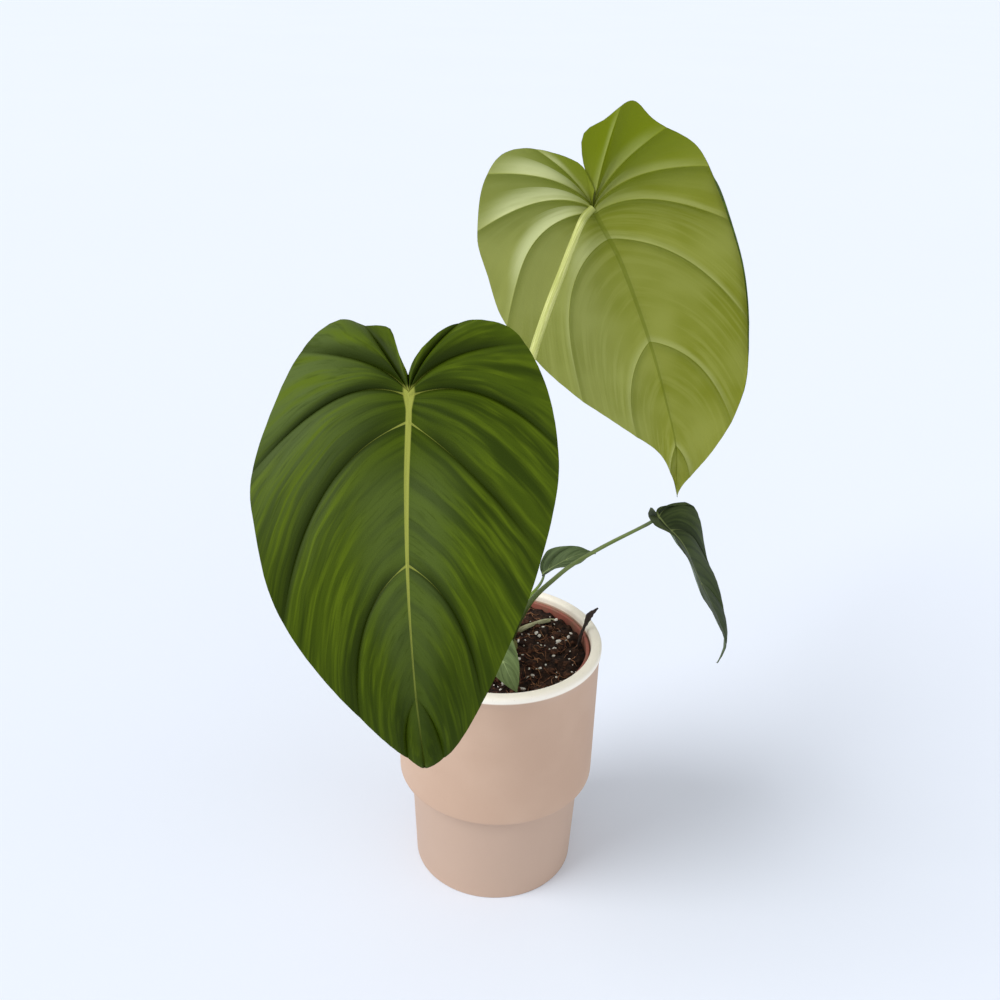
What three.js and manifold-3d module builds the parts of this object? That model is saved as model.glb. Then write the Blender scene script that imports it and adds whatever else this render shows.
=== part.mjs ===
// Potted philodendron with heart-shaped, quilted leaves, in a nursery pot inside a ceramic cover pot.
// Millimetres, +Z up, the front towards -Y. Origin: centre of the cover pot's foot, on the ground.
import * as THREE from "three";
import * as BufferGeometryUtils from "three/addons/utils/BufferGeometryUtils.js";
import Module from "manifold-3d";

const wasm = await Module();
wasm.setup();

// Cover pot
const COVER_HEIGHT = 181;
const COVER_RIM_RADIUS = 69.6;
const COVER_BODY_RADIUS = 68.4;
const COVER_STEP_RADIUS = 68;
const COVER_STEP_HEIGHT = 76.2;
const COVER_SLEEVE_RADIUS = 59.8;
const COVER_FOOT_RADIUS = 56.4;
const COVER_WALL = 6;
const COVER_FLOOR = 7;
const COVER_LEDGE_TOP = 85;
const COVER_LEDGE_RADIUS = 52.5;
const COVER_SEGMENTS = 56;

// Nursery pot, standing on the cover pot's ledge
const NURSERY_BASE = 85.3;
const NURSERY_TOP = 176;
const NURSERY_RIM_RADIUS = 61.6;
const NURSERY_FOOT_RADIUS = 56.4;
const NURSERY_WALL = 1.6;
const NURSERY_LIP = 2.4;
const NURSERY_SEGMENTS = 40;
const DRAIN_COUNT = 6;
const DRAIN_RADIUS = 5;
const DRAIN_CIRCLE = 38;

// Potting mix
const MIX_EDGE_HEIGHT = 168.5;
const MIX_CROWN_RISE = 4;
const MIX_LEAN = 0.07;
const MIX_BASE = 87.4;
const MIX_ROUGHNESS = 1.1;
const MIX_RINGS = 8;
const MIX_SEGMENTS = 32;
const CHUNK_COUNT = 46;
const CHUNK_SIZE = [1.6, 4.4];

// Plant. The crown is where the stalks rise, and no chunk of mix lies close to it
const CROWN = [3, 1];
const CROWN_CLEARING = 17;
const GAP = 0.3;
const SLIVER_HEIGHT = 0.02;
const BLADE_THICKNESS = 0.9;
const RIB_TO_MARGIN = [0, 0.035, 0.09, 0.19, 0.33, 0.49, 0.65, 0.81, 0.93, 1];

const SEED = 7;

const point = (x, y, z) => new THREE.Vector3(x, y, z);
const radians = THREE.MathUtils.degToRad;

// Random numbers from 0 to 1, the same on every run
function seededRandom(seed) {
  let state = seed;
  return () => {
    state = (state * 1664525 + 1013904223) % 4294967296;
    return state / 4294967296;
  };
}

// A closed shell of triangles, whose corners are shared where they meet
class Shell {
  constructor() {
    this.corners = [];
    this.faces = [];
    this.known = new Map();
  }

  corner(position) {
    const key = position.toArray().map((value) => Math.round(value * 2000)).join();
    if (!this.known.has(key)) {
      this.known.set(key, this.corners.length);
      this.corners.push(position.clone());
    }
    return this.known.get(key);
  }

  triangle(a, b, c) {
    const [i, j, k] = [this.corner(a), this.corner(b), this.corner(c)];
    if (i !== j && j !== k && k !== i) this.faces.push([i, j, k]);
  }

  quad(a, b, c, d) {
    this.triangle(a, b, c);
    this.triangle(a, c, d);
  }

  // A grid of points, row by row, with the quads between them
  grid(rows, flipped = false) {
    for (let i = 0; i + 1 < rows.length; i += 1) {
      for (let j = 0; j + 1 < rows[i].length; j += 1) {
        const [a, b, c, d] = [rows[i][j], rows[i + 1][j], rows[i + 1][j + 1], rows[i][j + 1]];
        if (flipped) this.quad(a, d, c, b);
        else this.quad(a, b, c, d);
      }
    }
  }

  volume() {
    const cross = new THREE.Vector3();
    return this.faces.reduce((sum, [i, j, k]) => {
      cross.crossVectors(this.corners[j], this.corners[k]);
      return sum + this.corners[i].dot(cross) / 6;
    }, 0);
  }

  solid() {
    const inward = this.volume() < 0;
    const triVerts = this.faces.flatMap(([i, j, k]) => (inward ? [i, k, j] : [i, j, k]));
    const vertProperties = this.corners.flatMap((corner) => corner.toArray());
    return new wasm.Manifold(new wasm.Mesh({
      numProp: 3,
      vertProperties: new Float32Array(vertProperties),
      triVerts: new Uint32Array(triVerts),
    }));
  }
}

function solidFromGeometry(geometry) {
  const bare = geometry.index ? geometry.toNonIndexed() : geometry;
  bare.deleteAttribute("normal");
  bare.deleteAttribute("uv");
  const merged = BufferGeometryUtils.mergeVertices(bare, 1e-4);
  const shell = new Shell();
  const position = merged.attributes.position;
  const at = (i) => new THREE.Vector3().fromBufferAttribute(position, merged.index.getX(i));
  for (let i = 0; i < merged.index.count; i += 3) shell.triangle(at(i), at(i + 1), at(i + 2));
  return shell.solid();
}

// The largest of the separate bodies in a solid, without scraps or sliver faces
function largestPiece(solid) {
  const [largest] = solid.decompose().sort((a, b) => b.volume() - a.volume());
  return largest.simplify(SLIVER_HEIGHT);
}

function meshOf(name, solid, colour, roughness) {
  const cut = solid.getMesh();
  const geometry = new THREE.BufferGeometry();
  geometry.setAttribute("position", new THREE.BufferAttribute(cut.vertProperties, 3));
  geometry.setIndex(new THREE.BufferAttribute(cut.triVerts, 1));
  geometry.computeVertexNormals();
  const material = new THREE.MeshStandardMaterial({ color: colour, roughness, metalness: 0 });
  const mesh = new THREE.Mesh(geometry, material);
  mesh.name = name;
  return mesh;
}

// A value read smoothly from a list that is spaced evenly over t = 0..1
function along(values, t) {
  const curve = new THREE.SplineCurve(values.map((value) => new THREE.Vector2(value, 0)));
  return curve.getPoint(THREE.MathUtils.clamp(t, 0, 1)).x;
}

// A value read in straight steps from a table of [place, value, other value] rows
function stepped(table, place, column = 1) {
  const next = table.findIndex((row) => row[0] >= place);
  if (next === 0) return table[0][column];
  if (next < 0) return table[table.length - 1][column];
  const [low, high] = [table[next - 1], table[next]];
  return low[column] + ((high[column] - low[column]) * (place - low[0])) / (high[0] - low[0]);
}

// A leaf blade. Its flat drawing has the midrib along y from the petiole at (0, 0) to the tip, and
// each half's outline as points [distance from the midrib, y] from the sinus to the tip. Primary
// veins leave the midrib and end on the outline; the blade is quilted up between them. The drawing
// is then bent: arch and twist along the midrib, fold and droop across each half. Each row of fold
// is [y, right half, left half], in degrees.
class Blade {
  constructor(spec) {
    Object.assign(this, { sweep: 0.45, rib: [0, 0], twist: [[0, 0]], lifts: [] }, spec);
    this.yAxis = this.heading.clone().normalize();
    const lean = this.yAxis.clone().multiplyScalar(this.face.dot(this.yAxis));
    this.zAxis = this.face.clone().sub(lean).normalize();
    this.xAxis = new THREE.Vector3().crossVectors(this.yAxis, this.zAxis);
    this.columns = ["start", "leaveRight", "leaveLeft", "endRight", "endLeft"].map(
      (_, column) => this.veins.map((row) => row[column]),
    );
    this.traceArch();
  }

  // The midrib seen from the side: its slope, and how far along and up it has come at each y
  traceArch() {
    const [first, last] = [this.arch[0][0], this.arch[this.arch.length - 1][0]];
    const steps = 240;
    this.track = [{ y: first, slope: radians(this.arch[0][1]), run: 0, rise: 0 }];
    for (let i = 1; i <= steps; i += 1) {
      const y = first + ((last - first) * i) / steps;
      const slope = radians(stepped(this.arch, y));
      const before = this.track[i - 1];
      const step = y - before.y;
      const run = before.run + (step * (Math.cos(slope) + Math.cos(before.slope))) / 2;
      const rise = before.rise + (step * (Math.sin(slope) + Math.sin(before.slope))) / 2;
      this.track.push({ y, slope, run, rise });
    }
    const origin = this.onTrack(0);
    this.track.forEach((spot) => {
      spot.run -= origin.run;
      spot.rise -= origin.rise;
    });
  }

  onTrack(y) {
    const first = this.track[0].y;
    const step = this.track[1].y - first;
    const exact = THREE.MathUtils.clamp((y - first) / step, 0, this.track.length - 1.001);
    const [a, b] = [this.track[Math.floor(exact)], this.track[Math.floor(exact) + 1]];
    const blend = (key) => THREE.MathUtils.lerp(a[key], b[key], exact % 1);
    return { slope: blend("slope"), run: blend("run"), rise: blend("rise") };
  }

  // The flat point at u = 0..1 from midrib to margin and v = 0..1 through the veins of one half
  flat(u, v, side) {
    const [start, leaveRight, leaveLeft, endRight, endLeft] = this.columns.map((list) => along(list, v));
    const outline = side > 0 ? this.right : this.left;
    const leave = radians(side > 0 ? leaveRight : leaveLeft);
    const end = (side > 0 ? endRight : endLeft) / (outline.length - 1);
    const margin = new THREE.SplineCurve(outline.map(([x, y]) => new THREE.Vector2(x * side, y)));
    const from = new THREE.Vector2(0, start);
    const to = margin.getPoint(THREE.MathUtils.clamp(end, 0, 1));
    const reach = from.distanceTo(to) * this.sweep;
    const bend = new THREE.Vector2(Math.sin(leave) * side * reach, Math.cos(leave) * reach).add(from);
    return new THREE.QuadraticBezierCurve(from, bend, to).getPoint(u);
  }

  // The point in space over flat point (x, y), raised by height along the blade's normal
  place(x, y, height) {
    const side = x >= 0 ? 1 : -1;
    const fold = radians(stepped(this.fold, y, x >= 0 ? 1 : 2));
    const bend = radians(x >= 0 ? this.droop[0] : this.droop[1]) / 100;
    const tilt = fold + bend * Math.abs(x);
    const onMidrib = Math.abs(x) < 1e-6;
    const out = onMidrib ? 0 : (Math.sin(tilt) - Math.sin(fold)) / bend - height * Math.sin(tilt);
    const up = (Math.cos(fold) - Math.cos(tilt)) / bend + (onMidrib ? height : height * Math.cos(tilt));
    const turn = radians(stepped(this.twist, y));
    const across = side * out * Math.cos(turn) - up * Math.sin(turn);
    const raised = side * out * Math.sin(turn) + up * Math.cos(turn);
    const { slope, run, rise } = this.onTrack(y);
    return this.at.clone()
      .addScaledVector(this.xAxis, across + along(this.rib, y / this.length))
      .addScaledVector(this.yAxis, run - raised * Math.sin(slope))
      .addScaledVector(this.zAxis, rise + raised * Math.cos(slope));
  }

  // The direction straight up from the blade where its petiole joins it
  normal() {
    return this.place(0, 0, 1).sub(this.place(0, 0, 0)).normalize();
  }

  // Everything above the plane that lies just under the blade where its petiole joins it
  endOfPetiole() {
    const size = 60;
    const depth = this.thickness / 2 + this.ribDepth + GAP;
    const block = new THREE.BoxGeometry(size, size, size).translate(0, 0, size / 2 - depth);
    block.applyQuaternion(new THREE.Quaternion().setFromUnitVectors(point(0, 0, 1), this.normal()));
    return solidFromGeometry(block.translate(...this.at.toArray()));
  }

  // Height of the quilting between veins, and of the curled stretches of the margin
  relief(u, v, side) {
    const between = Math.abs(Math.sin(Math.PI * v * (this.veins.length - 1))) ** 0.8;
    let height = this.puff * u ** 0.6 * (1 - 0.7 * u ** 3) * (between - 0.55);
    this.lifts.forEach((lift) => {
      if (lift.side !== side) return;
      const near = Math.max(0, 1 - Math.abs(v - lift.v) / lift.width);
      const rim = Math.max(0, (u - lift.from) / (1 - lift.from));
      height += lift.height * near * near * (3 - 2 * near) * rim * rim;
    });
    return height;
  }

  // The midrib stands out below the blade, thickest at the petiole
  midrib(x, y) {
    const away = y < 0 ? Math.hypot(x, y) : Math.abs(x);
    const taper = THREE.MathUtils.clamp(1 - y / this.length, 0, 1);
    const width = this.ribWidth * (0.35 + 0.65 * taper);
    return this.ribDepth * taper * Math.exp(-((away / width) ** 2));
  }

  // A closed solid, thickened by extra on both faces
  solid(extra = 0) {
    const samples = (this.veins.length - 1) * this.samplesPerVein;
    const shell = new Shell();
    [1, -1].forEach((side) => {
      const layers = { top: [], bottom: [] };
      for (let j = 0; j <= samples; j += 1) {
        const v = j / samples;
        const flats = this.uSteps.map((u) => this.flat(u, v, side));
        const half = this.thickness / 2 + extra;
        layers.top.push(flats.map((spot, i) => {
          return this.place(spot.x, spot.y, this.relief(this.uSteps[i], v, side) + half);
        }));
        layers.bottom.push(flats.map((spot, i) => {
          const deep = this.relief(this.uSteps[i], v, side) - half - this.midrib(spot.x, spot.y);
          return this.place(spot.x, spot.y, deep);
        }));
      }
      const rim = this.uSteps.length - 1;
      shell.grid(layers.top, side < 0);
      shell.grid(layers.bottom, side > 0);
      shell.grid([layers.top, layers.bottom].map((layer) => layer.map((row) => row[rim])), side > 0);
    });
    return shell.solid();
  }
}

// A young leaf has few veins. Its outline is drawn for a blade 200 long and scaled; farOutline is
// the left half's, where that differs
function youngBlade({ length, outline, farOutline = outline, width = 1, ...rest }) {
  const scale = length / 200;
  const scaled = (half) => half.map(([x, y]) => [x * scale * width, y * scale]);
  const veins = [
    [0, 180, 180, 0, 0],
    [0, 130, 130, 3.2, 3.2],
    [0, 96, 96, 6, 6],
    [0.1 * length, 60, 60, 8.4, 8.4],
    [0.45 * length, 45, 45, 10, 10],
    [length, 10, 10, 12, 12],
  ];
  return new Blade({
    length,
    right: scaled(outline),
    left: scaled(farOutline),
    veins,
    puff: 3 * scale,
    thickness: BLADE_THICKNESS * 0.85,
    ribDepth: 0.7,
    ribWidth: 1.6,
    uSteps: [0, 0.08, 0.25, 0.5, 0.78, 1],
    samplesPerVein: 4,
    ...rest,
  });
}

// Front leaf: the blade hangs forward and down, its face to the front
const frontAt = point(-51.6, -85, 387.1);
const frontTip = point(-39, -160, 200.9);
const frontFace = point(43.2, -506.2, 298.1);
const frontBlade = new Blade({
  at: frontAt,
  length: 202,
  heading: frontTip.clone().sub(frontAt).addScaledVector(frontFace.clone().normalize(), 40),
  face: frontFace,
  arch: [[-70, 30], [0, 8], [60, 0], [140, -12], [205, -35]],
  fold: [[-70, 0, 0], [0, 8, 8]],
  droop: [-12, -12],
  rib: [0, 3.2, 4.5, 3.2, 0],
  right: [[0, -11], [5, -24], [9, -40], [22, -44], [36, -47], [54, -29], [70, 8], [79, 44], [76, 72],
    [69, 104], [56, 131], [32, 165], [11, 191], [0, 202]],
  left: [[0, -11], [4, -20], [12, -30], [24, -40], [40, -43], [60, -33], [73, 3], [79, 40], [75, 70],
    [65, 102], [53, 128], [34, 163], [14, 192], [0, 202]],
  veins: [[0, 180, 180, 0, 0], [0, 154, 164, 3, 3.3], [0, 148, 148, 5.1, 5.2], [2, 118, 112, 6.9, 6.8],
    [16, 69, 54, 9.5, 8.6], [91, 56, 58, 11.1, 11], [160, 34, 34, 12.2, 12.2], [202, 10, 10, 13, 13]],
  lifts: [{ side: 1, v: 0.16, width: 0.13, from: 0.7, height: -2.5 }],
  puff: 4,
  thickness: BLADE_THICKNESS,
  ribDepth: 1.6,
  ribWidth: 2.6,
  uSteps: RIB_TO_MARGIN,
  samplesPerVein: 4,
});

// Rear leaf: higher and turned away, so that the front sees its underside
const rearAt = point(51.1, 75, 454.8);
const rearTip = point(127.5, 95, 246.1);
const rearBlade = new Blade({
  at: rearAt,
  length: 218,
  heading: rearTip.clone().sub(rearAt),
  face: point(91.4, 713.7, -91.7),
  arch: [[-70, 10], [0, 4], [60, 0], [140, -4], [220, -10]],
  fold: [[-70, 0, 0], [0, 5, 5]],
  droop: [-8, -8],
  rib: [0, 6.5, 9.5, 11, 10.5, 8.5, 0],
  right: [[4, -11], [2, -28], [7, -46], [22, -51], [40, -57], [50, -41], [70, -18], [76, 8], [74, 36],
    [72, 72], [65, 110], [53, 154], [27, 191], [7, 209], [0, 218]],
  left: [[-4, -11], [-1, -27], [11, -39], [28, -49], [46, -49], [62, -34], [75, -7], [82, 18], [88, 54],
    [77, 94], [62, 122], [39, 152], [14, 181], [3, 203], [0, 218]],
  veins: [[0, 180, 180, 0, 0], [0, 155, 172, 3.6, 2.7], [0, 143, 160, 5.3, 4.6], [1, 130, 138, 6.6, 6],
    [4, 107, 108, 8, 8.2], [23, 71, 75, 9.9, 10.3], [100, 64, 54, 11.5, 11.5], [180, 32, 32, 12.8, 12.8],
    [218, 10, 10, 14, 14]],
  puff: 4,
  thickness: BLADE_THICKNESS,
  ribDepth: 1.6,
  ribWidth: 2.6,
  uSteps: RIB_TO_MARGIN,
  samplesPerVein: 4,
});

// Side leaf: young, out to the right, seen nearly from its edge
const sideBlade = youngBlade({
  at: point(99.5, 0, 275.2),
  heading: point(1, -4.1, -100),
  face: point(0.882, -0.098, 0.461),
  length: 121,
  arch: [[-12, 8], [0, 37.8], [12, 50], [35, 24], [60, 30], [95, 22], [108, -12], [119, -17]],
  fold: [[-12, 12, 14], [0, 30, 13], [6, 36, 12.5], [12, 32, 12], [35, 27, 4], [50, 24, 1.6], [120, 24, 0]],
  droop: [-10, -10],
  twist: [[0, -18]],
  outline: [[0, -5], [6, -13], [18, -21], [31, -19], [40, -10], [44, 6], [53, 30], [55, 46], [46, 76],
    [36, 106], [18, 142], [4, 179], [0, 200]],
  farOutline: [[0, -5], [5, -8], [13, -6], [25, 3], [40, 19], [50, 26], [54, 33], [50, 45], [38, 79],
    [34, 109], [22, 142], [6, 177], [0, 200]],
});

// Small leaf: low on the right, half behind the side leaf's petiole
const smallBlade = youngBlade({
  at: point(29.3, 26, 216.2),
  heading: point(28.7, 6, 0.3),
  face: point(-0.2, -0.2, 1),
  length: 40,
  arch: [[-12, 42], [0, 42], [8, 35], [16, 31], [24, 24], [32, 4], [40, -18]],
  fold: [[0, 36, 20], [10, 38, 20], [14, 33, 20], [18, 22, 20], [22, 9, 20], [27, -4, 20], [34, -12, 20]],
  droop: [-30, -30],
  outline: [[0, -5], [10, -5], [25, 6], [46, 22], [65, 36], [71, 51], [67, 75], [56, 100], [43, 127],
    [30, 150], [14, 171], [5, 189], [0, 200]],
});

// Low leaf: hangs inside the rim at the front, with its face to the front
const lowBlade = youngBlade({
  at: point(-5.5, -22, 196),
  heading: point(17.9, -26, -25.4),
  face: point(0.1, -1, 0.8),
  length: 41.5,
  width: 0.72,
  arch: [[-12, 12], [0, 10], [12, 4], [24, -4], [43, -10]],
  fold: [[0, 8, 8]],
  droop: [-20, -20],
  outline: [[0, -11], [5, -24], [14, -38], [32, -44], [54, -36], [70, -8], [77, 26], [76, 60],
    [67, 100], [50, 136], [26, 170], [8, 188], [0, 200]],
});

// A round rod along a smooth curve through points, with its radius read along it
function rod(points, radii, sides = 8, rings = 16, extra = 0) {
  const curve = new THREE.CatmullRomCurve3(points, false, "centripetal");
  const frames = curve.computeFrenetFrames(rings, false);
  const shell = new Shell();
  const rows = [];
  for (let i = 0; i <= rings; i += 1) {
    const centre = curve.getPointAt(i / rings);
    const radius = along(radii, i / rings) + extra;
    const row = [];
    for (let j = 0; j <= sides; j += 1) {
      const turn = ((j % sides) / sides) * 2 * Math.PI;
      row.push(centre.clone()
        .addScaledVector(frames.normals[i], radius * Math.cos(turn))
        .addScaledVector(frames.binormals[i], radius * Math.sin(turn)));
    }
    rows.push(row);
  }
  const cap = (centre) => rows[0].map(() => centre);
  rows.push(cap(curve.getPointAt(1)));
  rows.unshift(cap(curve.getPointAt(0)));
  shell.grid(rows);
  return shell.solid();
}

// Where a petiole meets the back of a blade
function underside(blade) {
  return blade.at.clone().addScaledVector(blade.normal(), -blade.ribDepth);
}

// Creeping stem, half sunk in the mix, with the crown that the petioles rise from
const rhizomePath = [point(-27, 13, 162), point(-12, 7, 169), point(2, 2, 173), point(10, -3, 176)];
const rhizomeRadii = [4, 7.4, 8.2, 7.8, 4.5];

const petioles = {
  front: {
    blade: frontBlade,
    path: [point(-1, -3, 175), point(-5, -8, 215), point(-14, -20, 275), point(-29, -42, 340),
      point(-45, -68, 378), underside(frontBlade)],
    radii: [4.2, 3.5, 3.2, 3.0, 2.8],
  },
  rear: {
    blade: rearBlade,
    path: [point(-2, 6, 175), point(-3.1, 14, 240.5), point(-1.2, 30, 284.5), point(6.8, 46, 324.5),
      point(17.4, 60, 364.8), point(26.6, 67, 394.3), point(33.3, 69, 413.6), point(38.8, 70, 430.6),
      point(45.6, 71.5, 448.5), underside(rearBlade)],
    radii: [4.2, 3.5, 3.2, 3.0, 2.9, 2.3],
  },
  side: {
    blade: sideBlade,
    path: [point(6, 0, 176), point(13, 0, 195), point(22.5, 0, 213), point(35.6, 0, 228.1),
      point(45, 0, 237.5), point(64.8, 0, 252.2), point(88.4, 0, 267.2), point(94.2, 0, 271),
      underside(sideBlade)],
    radii: [3.3, 2.1, 1.6, 1.4, 1.25, 1.0],
  },
  small: {
    blade: smallBlade,
    path: [point(5, 8, 175), point(13, 13, 190), point(21, 18, 203.5), point(26.5, 22, 209.5),
      point(28.8, 25.5, 212.5), underside(smallBlade)],
    radii: [2.6, 2.6, 2.5, 1.1, 0.8],
  },
  low: {
    blade: lowBlade,
    path: [point(6, -7, 175), point(6, -13, 184), point(1, -18, 193), underside(lowBlade)],
    radii: [1.8, 1.5, 1.2, 1.0],
  },
};

const cutPetioleRadii = [1.5, 1.6, 1.5, 1.3];
const cutPetiolePath = [point(10.5, 14.5, 172.6), point(14.5, 19.5, 174.4), point(23.5, 27, 174.8),
  point(32.5, 33.2, 173.9), point(38.5, 36.8, 172.4)];
const dryStalkPath = [point(53, 7, 162), point(54, 8.5, 167), point(55.2, 9.6, 172.5),
  point(57, 11.2, 180.2), point(59.5, 13.2, 186), point(61.6, 15, 190.8), point(67.1, 16, 196.4)];
const dryStalkRadii = [1.4, 1.3, 1.1, 1.1, 1.4, 2.1, 0.5];

// Cover pot: an upper body stepped in to a narrower foot, with a ledge inside the step
function coverPot() {
  const inner = COVER_BODY_RADIUS - COVER_WALL;
  const profile = [
    [0, 0], [COVER_FOOT_RADIUS - 0.8, 0], [COVER_FOOT_RADIUS, 0.8],
    [COVER_SLEEVE_RADIUS, COVER_STEP_HEIGHT - 0.4], [COVER_SLEEVE_RADIUS + 0.8, COVER_STEP_HEIGHT],
    [COVER_STEP_RADIUS - 2.2, COVER_STEP_HEIGHT + 0.2], [COVER_STEP_RADIUS - 0.5, COVER_STEP_HEIGHT + 1.2],
    [COVER_STEP_RADIUS, COVER_STEP_HEIGHT + 3],
    [COVER_BODY_RADIUS, COVER_HEIGHT - 6.5], [COVER_RIM_RADIUS, COVER_HEIGHT - 5],
    [COVER_RIM_RADIUS, COVER_HEIGHT - 2], [COVER_RIM_RADIUS - 1.4, COVER_HEIGHT - 0.4],
    [COVER_RIM_RADIUS - 3, COVER_HEIGHT], [inner + 1.4, COVER_HEIGHT - 0.6], [inner, COVER_HEIGHT - 2.4],
    [inner, COVER_LEDGE_TOP], [COVER_LEDGE_RADIUS, COVER_LEDGE_TOP],
    [COVER_FOOT_RADIUS - COVER_WALL, COVER_FLOOR], [0, COVER_FLOOR],
  ];
  const points = profile.map(([radius, height]) => new THREE.Vector2(radius, height));
  return solidFromGeometry(new THREE.LatheGeometry(points, COVER_SEGMENTS).rotateX(Math.PI / 2));
}

// Nursery pot: a thin tapered pot with a thicker lip and drainage holes in its floor
function nurseryPot() {
  const lipRadius = NURSERY_RIM_RADIUS - NURSERY_LIP;
  const lipBase = NURSERY_TOP - 9;
  const floorTop = NURSERY_BASE + 1.8;
  const profile = [
    [0, NURSERY_BASE], [NURSERY_FOOT_RADIUS - 1, NURSERY_BASE], [NURSERY_FOOT_RADIUS, NURSERY_BASE + 1.2],
    [NURSERY_RIM_RADIUS - 1.4, lipBase], [NURSERY_RIM_RADIUS, lipBase + 0.6],
    [NURSERY_RIM_RADIUS, NURSERY_TOP - 0.8], [NURSERY_RIM_RADIUS - 0.8, NURSERY_TOP],
    [lipRadius + 0.6, NURSERY_TOP], [lipRadius, NURSERY_TOP - 0.8], [lipRadius, lipBase],
    [NURSERY_FOOT_RADIUS - NURSERY_WALL, floorTop], [0, floorTop],
  ];
  const points = profile.map(([radius, height]) => new THREE.Vector2(radius, height));
  let pot = solidFromGeometry(new THREE.LatheGeometry(points, NURSERY_SEGMENTS).rotateX(Math.PI / 2));
  for (let i = 0; i < DRAIN_COUNT; i += 1) {
    const turn = (i / DRAIN_COUNT) * 2 * Math.PI;
    const hole = new THREE.CylinderGeometry(DRAIN_RADIUS, DRAIN_RADIUS, 6, 12).rotateX(Math.PI / 2);
    hole.translate(DRAIN_CIRCLE * Math.cos(turn), DRAIN_CIRCLE * Math.sin(turn), NURSERY_BASE + 1);
    pot = pot.subtract(solidFromGeometry(hole));
  }
  return pot;
}

// Inside radius of the nursery pot at a height
function nurseryInside(height) {
  const base = NURSERY_BASE + 1.8;
  const lipBase = NURSERY_TOP - 9;
  const share = THREE.MathUtils.clamp((height - base) / (lipBase - base), 0, 1);
  return THREE.MathUtils.lerp(NURSERY_FOOT_RADIUS - NURSERY_WALL, NURSERY_RIM_RADIUS - NURSERY_LIP, share);
}

function mixHeight(x, y) {
  const radius = Math.hypot(x, y);
  const mound = MIX_CROWN_RISE * Math.cos(Math.min(1, radius / 62) * (Math.PI / 2));
  const lumps = Math.sin(x * 0.23 + 1.3) * Math.cos(y * 0.29) + 0.6 * Math.sin(x * 0.51 - y * 0.43 + 2);
  return MIX_EDGE_HEIGHT + MIX_LEAN * y + mound + MIX_ROUGHNESS * lumps;
}

// Potting mix: fills the nursery pot, its top rough with chunks sunk into it
function pottingMix() {
  const shell = new Shell();
  const rows = [];
  const edge = nurseryInside(MIX_EDGE_HEIGHT - MIX_LEAN * NURSERY_RIM_RADIUS) - GAP;
  const foot = nurseryInside(MIX_BASE) - GAP - 0.6;
  for (let j = 0; j <= MIX_SEGMENTS; j += 1) {
    const turn = ((j % MIX_SEGMENTS) / MIX_SEGMENTS) * 2 * Math.PI;
    const spoke = [];
    for (let i = 0; i <= MIX_RINGS; i += 1) {
      const radius = (edge * i) / MIX_RINGS;
      const [x, y] = [radius * Math.cos(turn), radius * Math.sin(turn)];
      spoke.push(point(x, y, mixHeight(x, y)));
    }
    spoke.push(point(foot * Math.cos(turn), foot * Math.sin(turn), MIX_BASE));
    spoke.push(point(0, 0, MIX_BASE));
    rows.push(spoke);
  }
  shell.grid(rows);
  let solid = shell.solid();
  const random = seededRandom(SEED);
  const chunks = [];
  for (let i = 0; i < CHUNK_COUNT; i += 1) {
    const size = THREE.MathUtils.lerp(CHUNK_SIZE[0], CHUNK_SIZE[1], random() ** 2);
    const radius = (edge - size * 1.5 - 1) * Math.sqrt(random());
    const turn = random() * 2 * Math.PI;
    const [x, y] = [radius * Math.cos(turn), radius * Math.sin(turn)];
    if (Math.hypot(x - CROWN[0], y - CROWN[1]) < CROWN_CLEARING) continue;
    const chunk = new THREE.IcosahedronGeometry(size, 0);
    chunk.scale(1 + 0.4 * random(), 1, 0.75);
    chunk.rotateX(random()).rotateZ(random() * 3).translate(x, y, mixHeight(x, y) + size * 0.12);
    chunks.push(solidFromGeometry(chunk));
  }
  chunks.forEach((chunk) => {
    solid = solid.add(chunk);
  });
  return solid;
}

const GREEN_DARK = "#3c5a1e";
const GREEN_OLIVE = "#7d9440";
const GREEN_GREY = "#4c6140";
const GREEN_STEM = "#b9c56a";

const rhizome = rod(rhizomePath, rhizomeRadii, 12, 12);
const rhizomeClear = rod(rhizomePath, rhizomeRadii, 12, 12, GAP);
const stalks = {};
Object.entries(petioles).forEach(([name, { blade, path, radii }]) => {
  stalks[name] = largestPiece(rod(path, radii).subtract(blade.endOfPetiole()).subtract(rhizomeClear));
});
const cutPetiole = rod(cutPetiolePath, cutPetioleRadii);
const dryStalk = rod(dryStalkPath, dryStalkRadii);
const sunkPieces = [
  rhizomeClear,
  rod(cutPetiolePath, cutPetioleRadii, 8, 16, GAP),
  rod(dryStalkPath, dryStalkRadii, 8, 16, GAP),
];
const mix = largestPiece(sunkPieces.reduce((solid, piece) => solid.subtract(piece), pottingMix()));

const plant = new THREE.Group();
plant.add(
  meshOf("front_blade", frontBlade.solid(), GREEN_DARK, 0.5),
  meshOf("rear_blade", rearBlade.solid(), GREEN_OLIVE, 0.6),
  meshOf("side_blade", sideBlade.solid(), GREEN_GREY, 0.55),
  meshOf("small_blade", smallBlade.solid(), GREEN_GREY, 0.55),
  meshOf("low_blade", lowBlade.solid(), GREEN_GREY, 0.55),
  meshOf("rhizome", rhizome, "#5f6b34", 0.7),
  meshOf("cut_petiole", cutPetiole, "#c9c79a", 0.7),
  meshOf("dry_stalk", dryStalk, "#3a2a1f", 0.9),
);
Object.entries(stalks).forEach(([name, solid]) => {
  plant.add(meshOf(`${name}_petiole`, solid, GREEN_STEM, 0.5));
});

const pots = new THREE.Group();
pots.add(
  meshOf("potting_mix", mix, "#33241a", 0.95),
  meshOf("nursery_pot", nurseryPot(), "#8a4436", 0.55),
  meshOf("cover_pot", coverPot(), "#c9b09c", 0.8),
);

const pottedPhilodendron = new THREE.Group();
pottedPhilodendron.add(plant, pots);

export default pottedPhilodendron;
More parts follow.
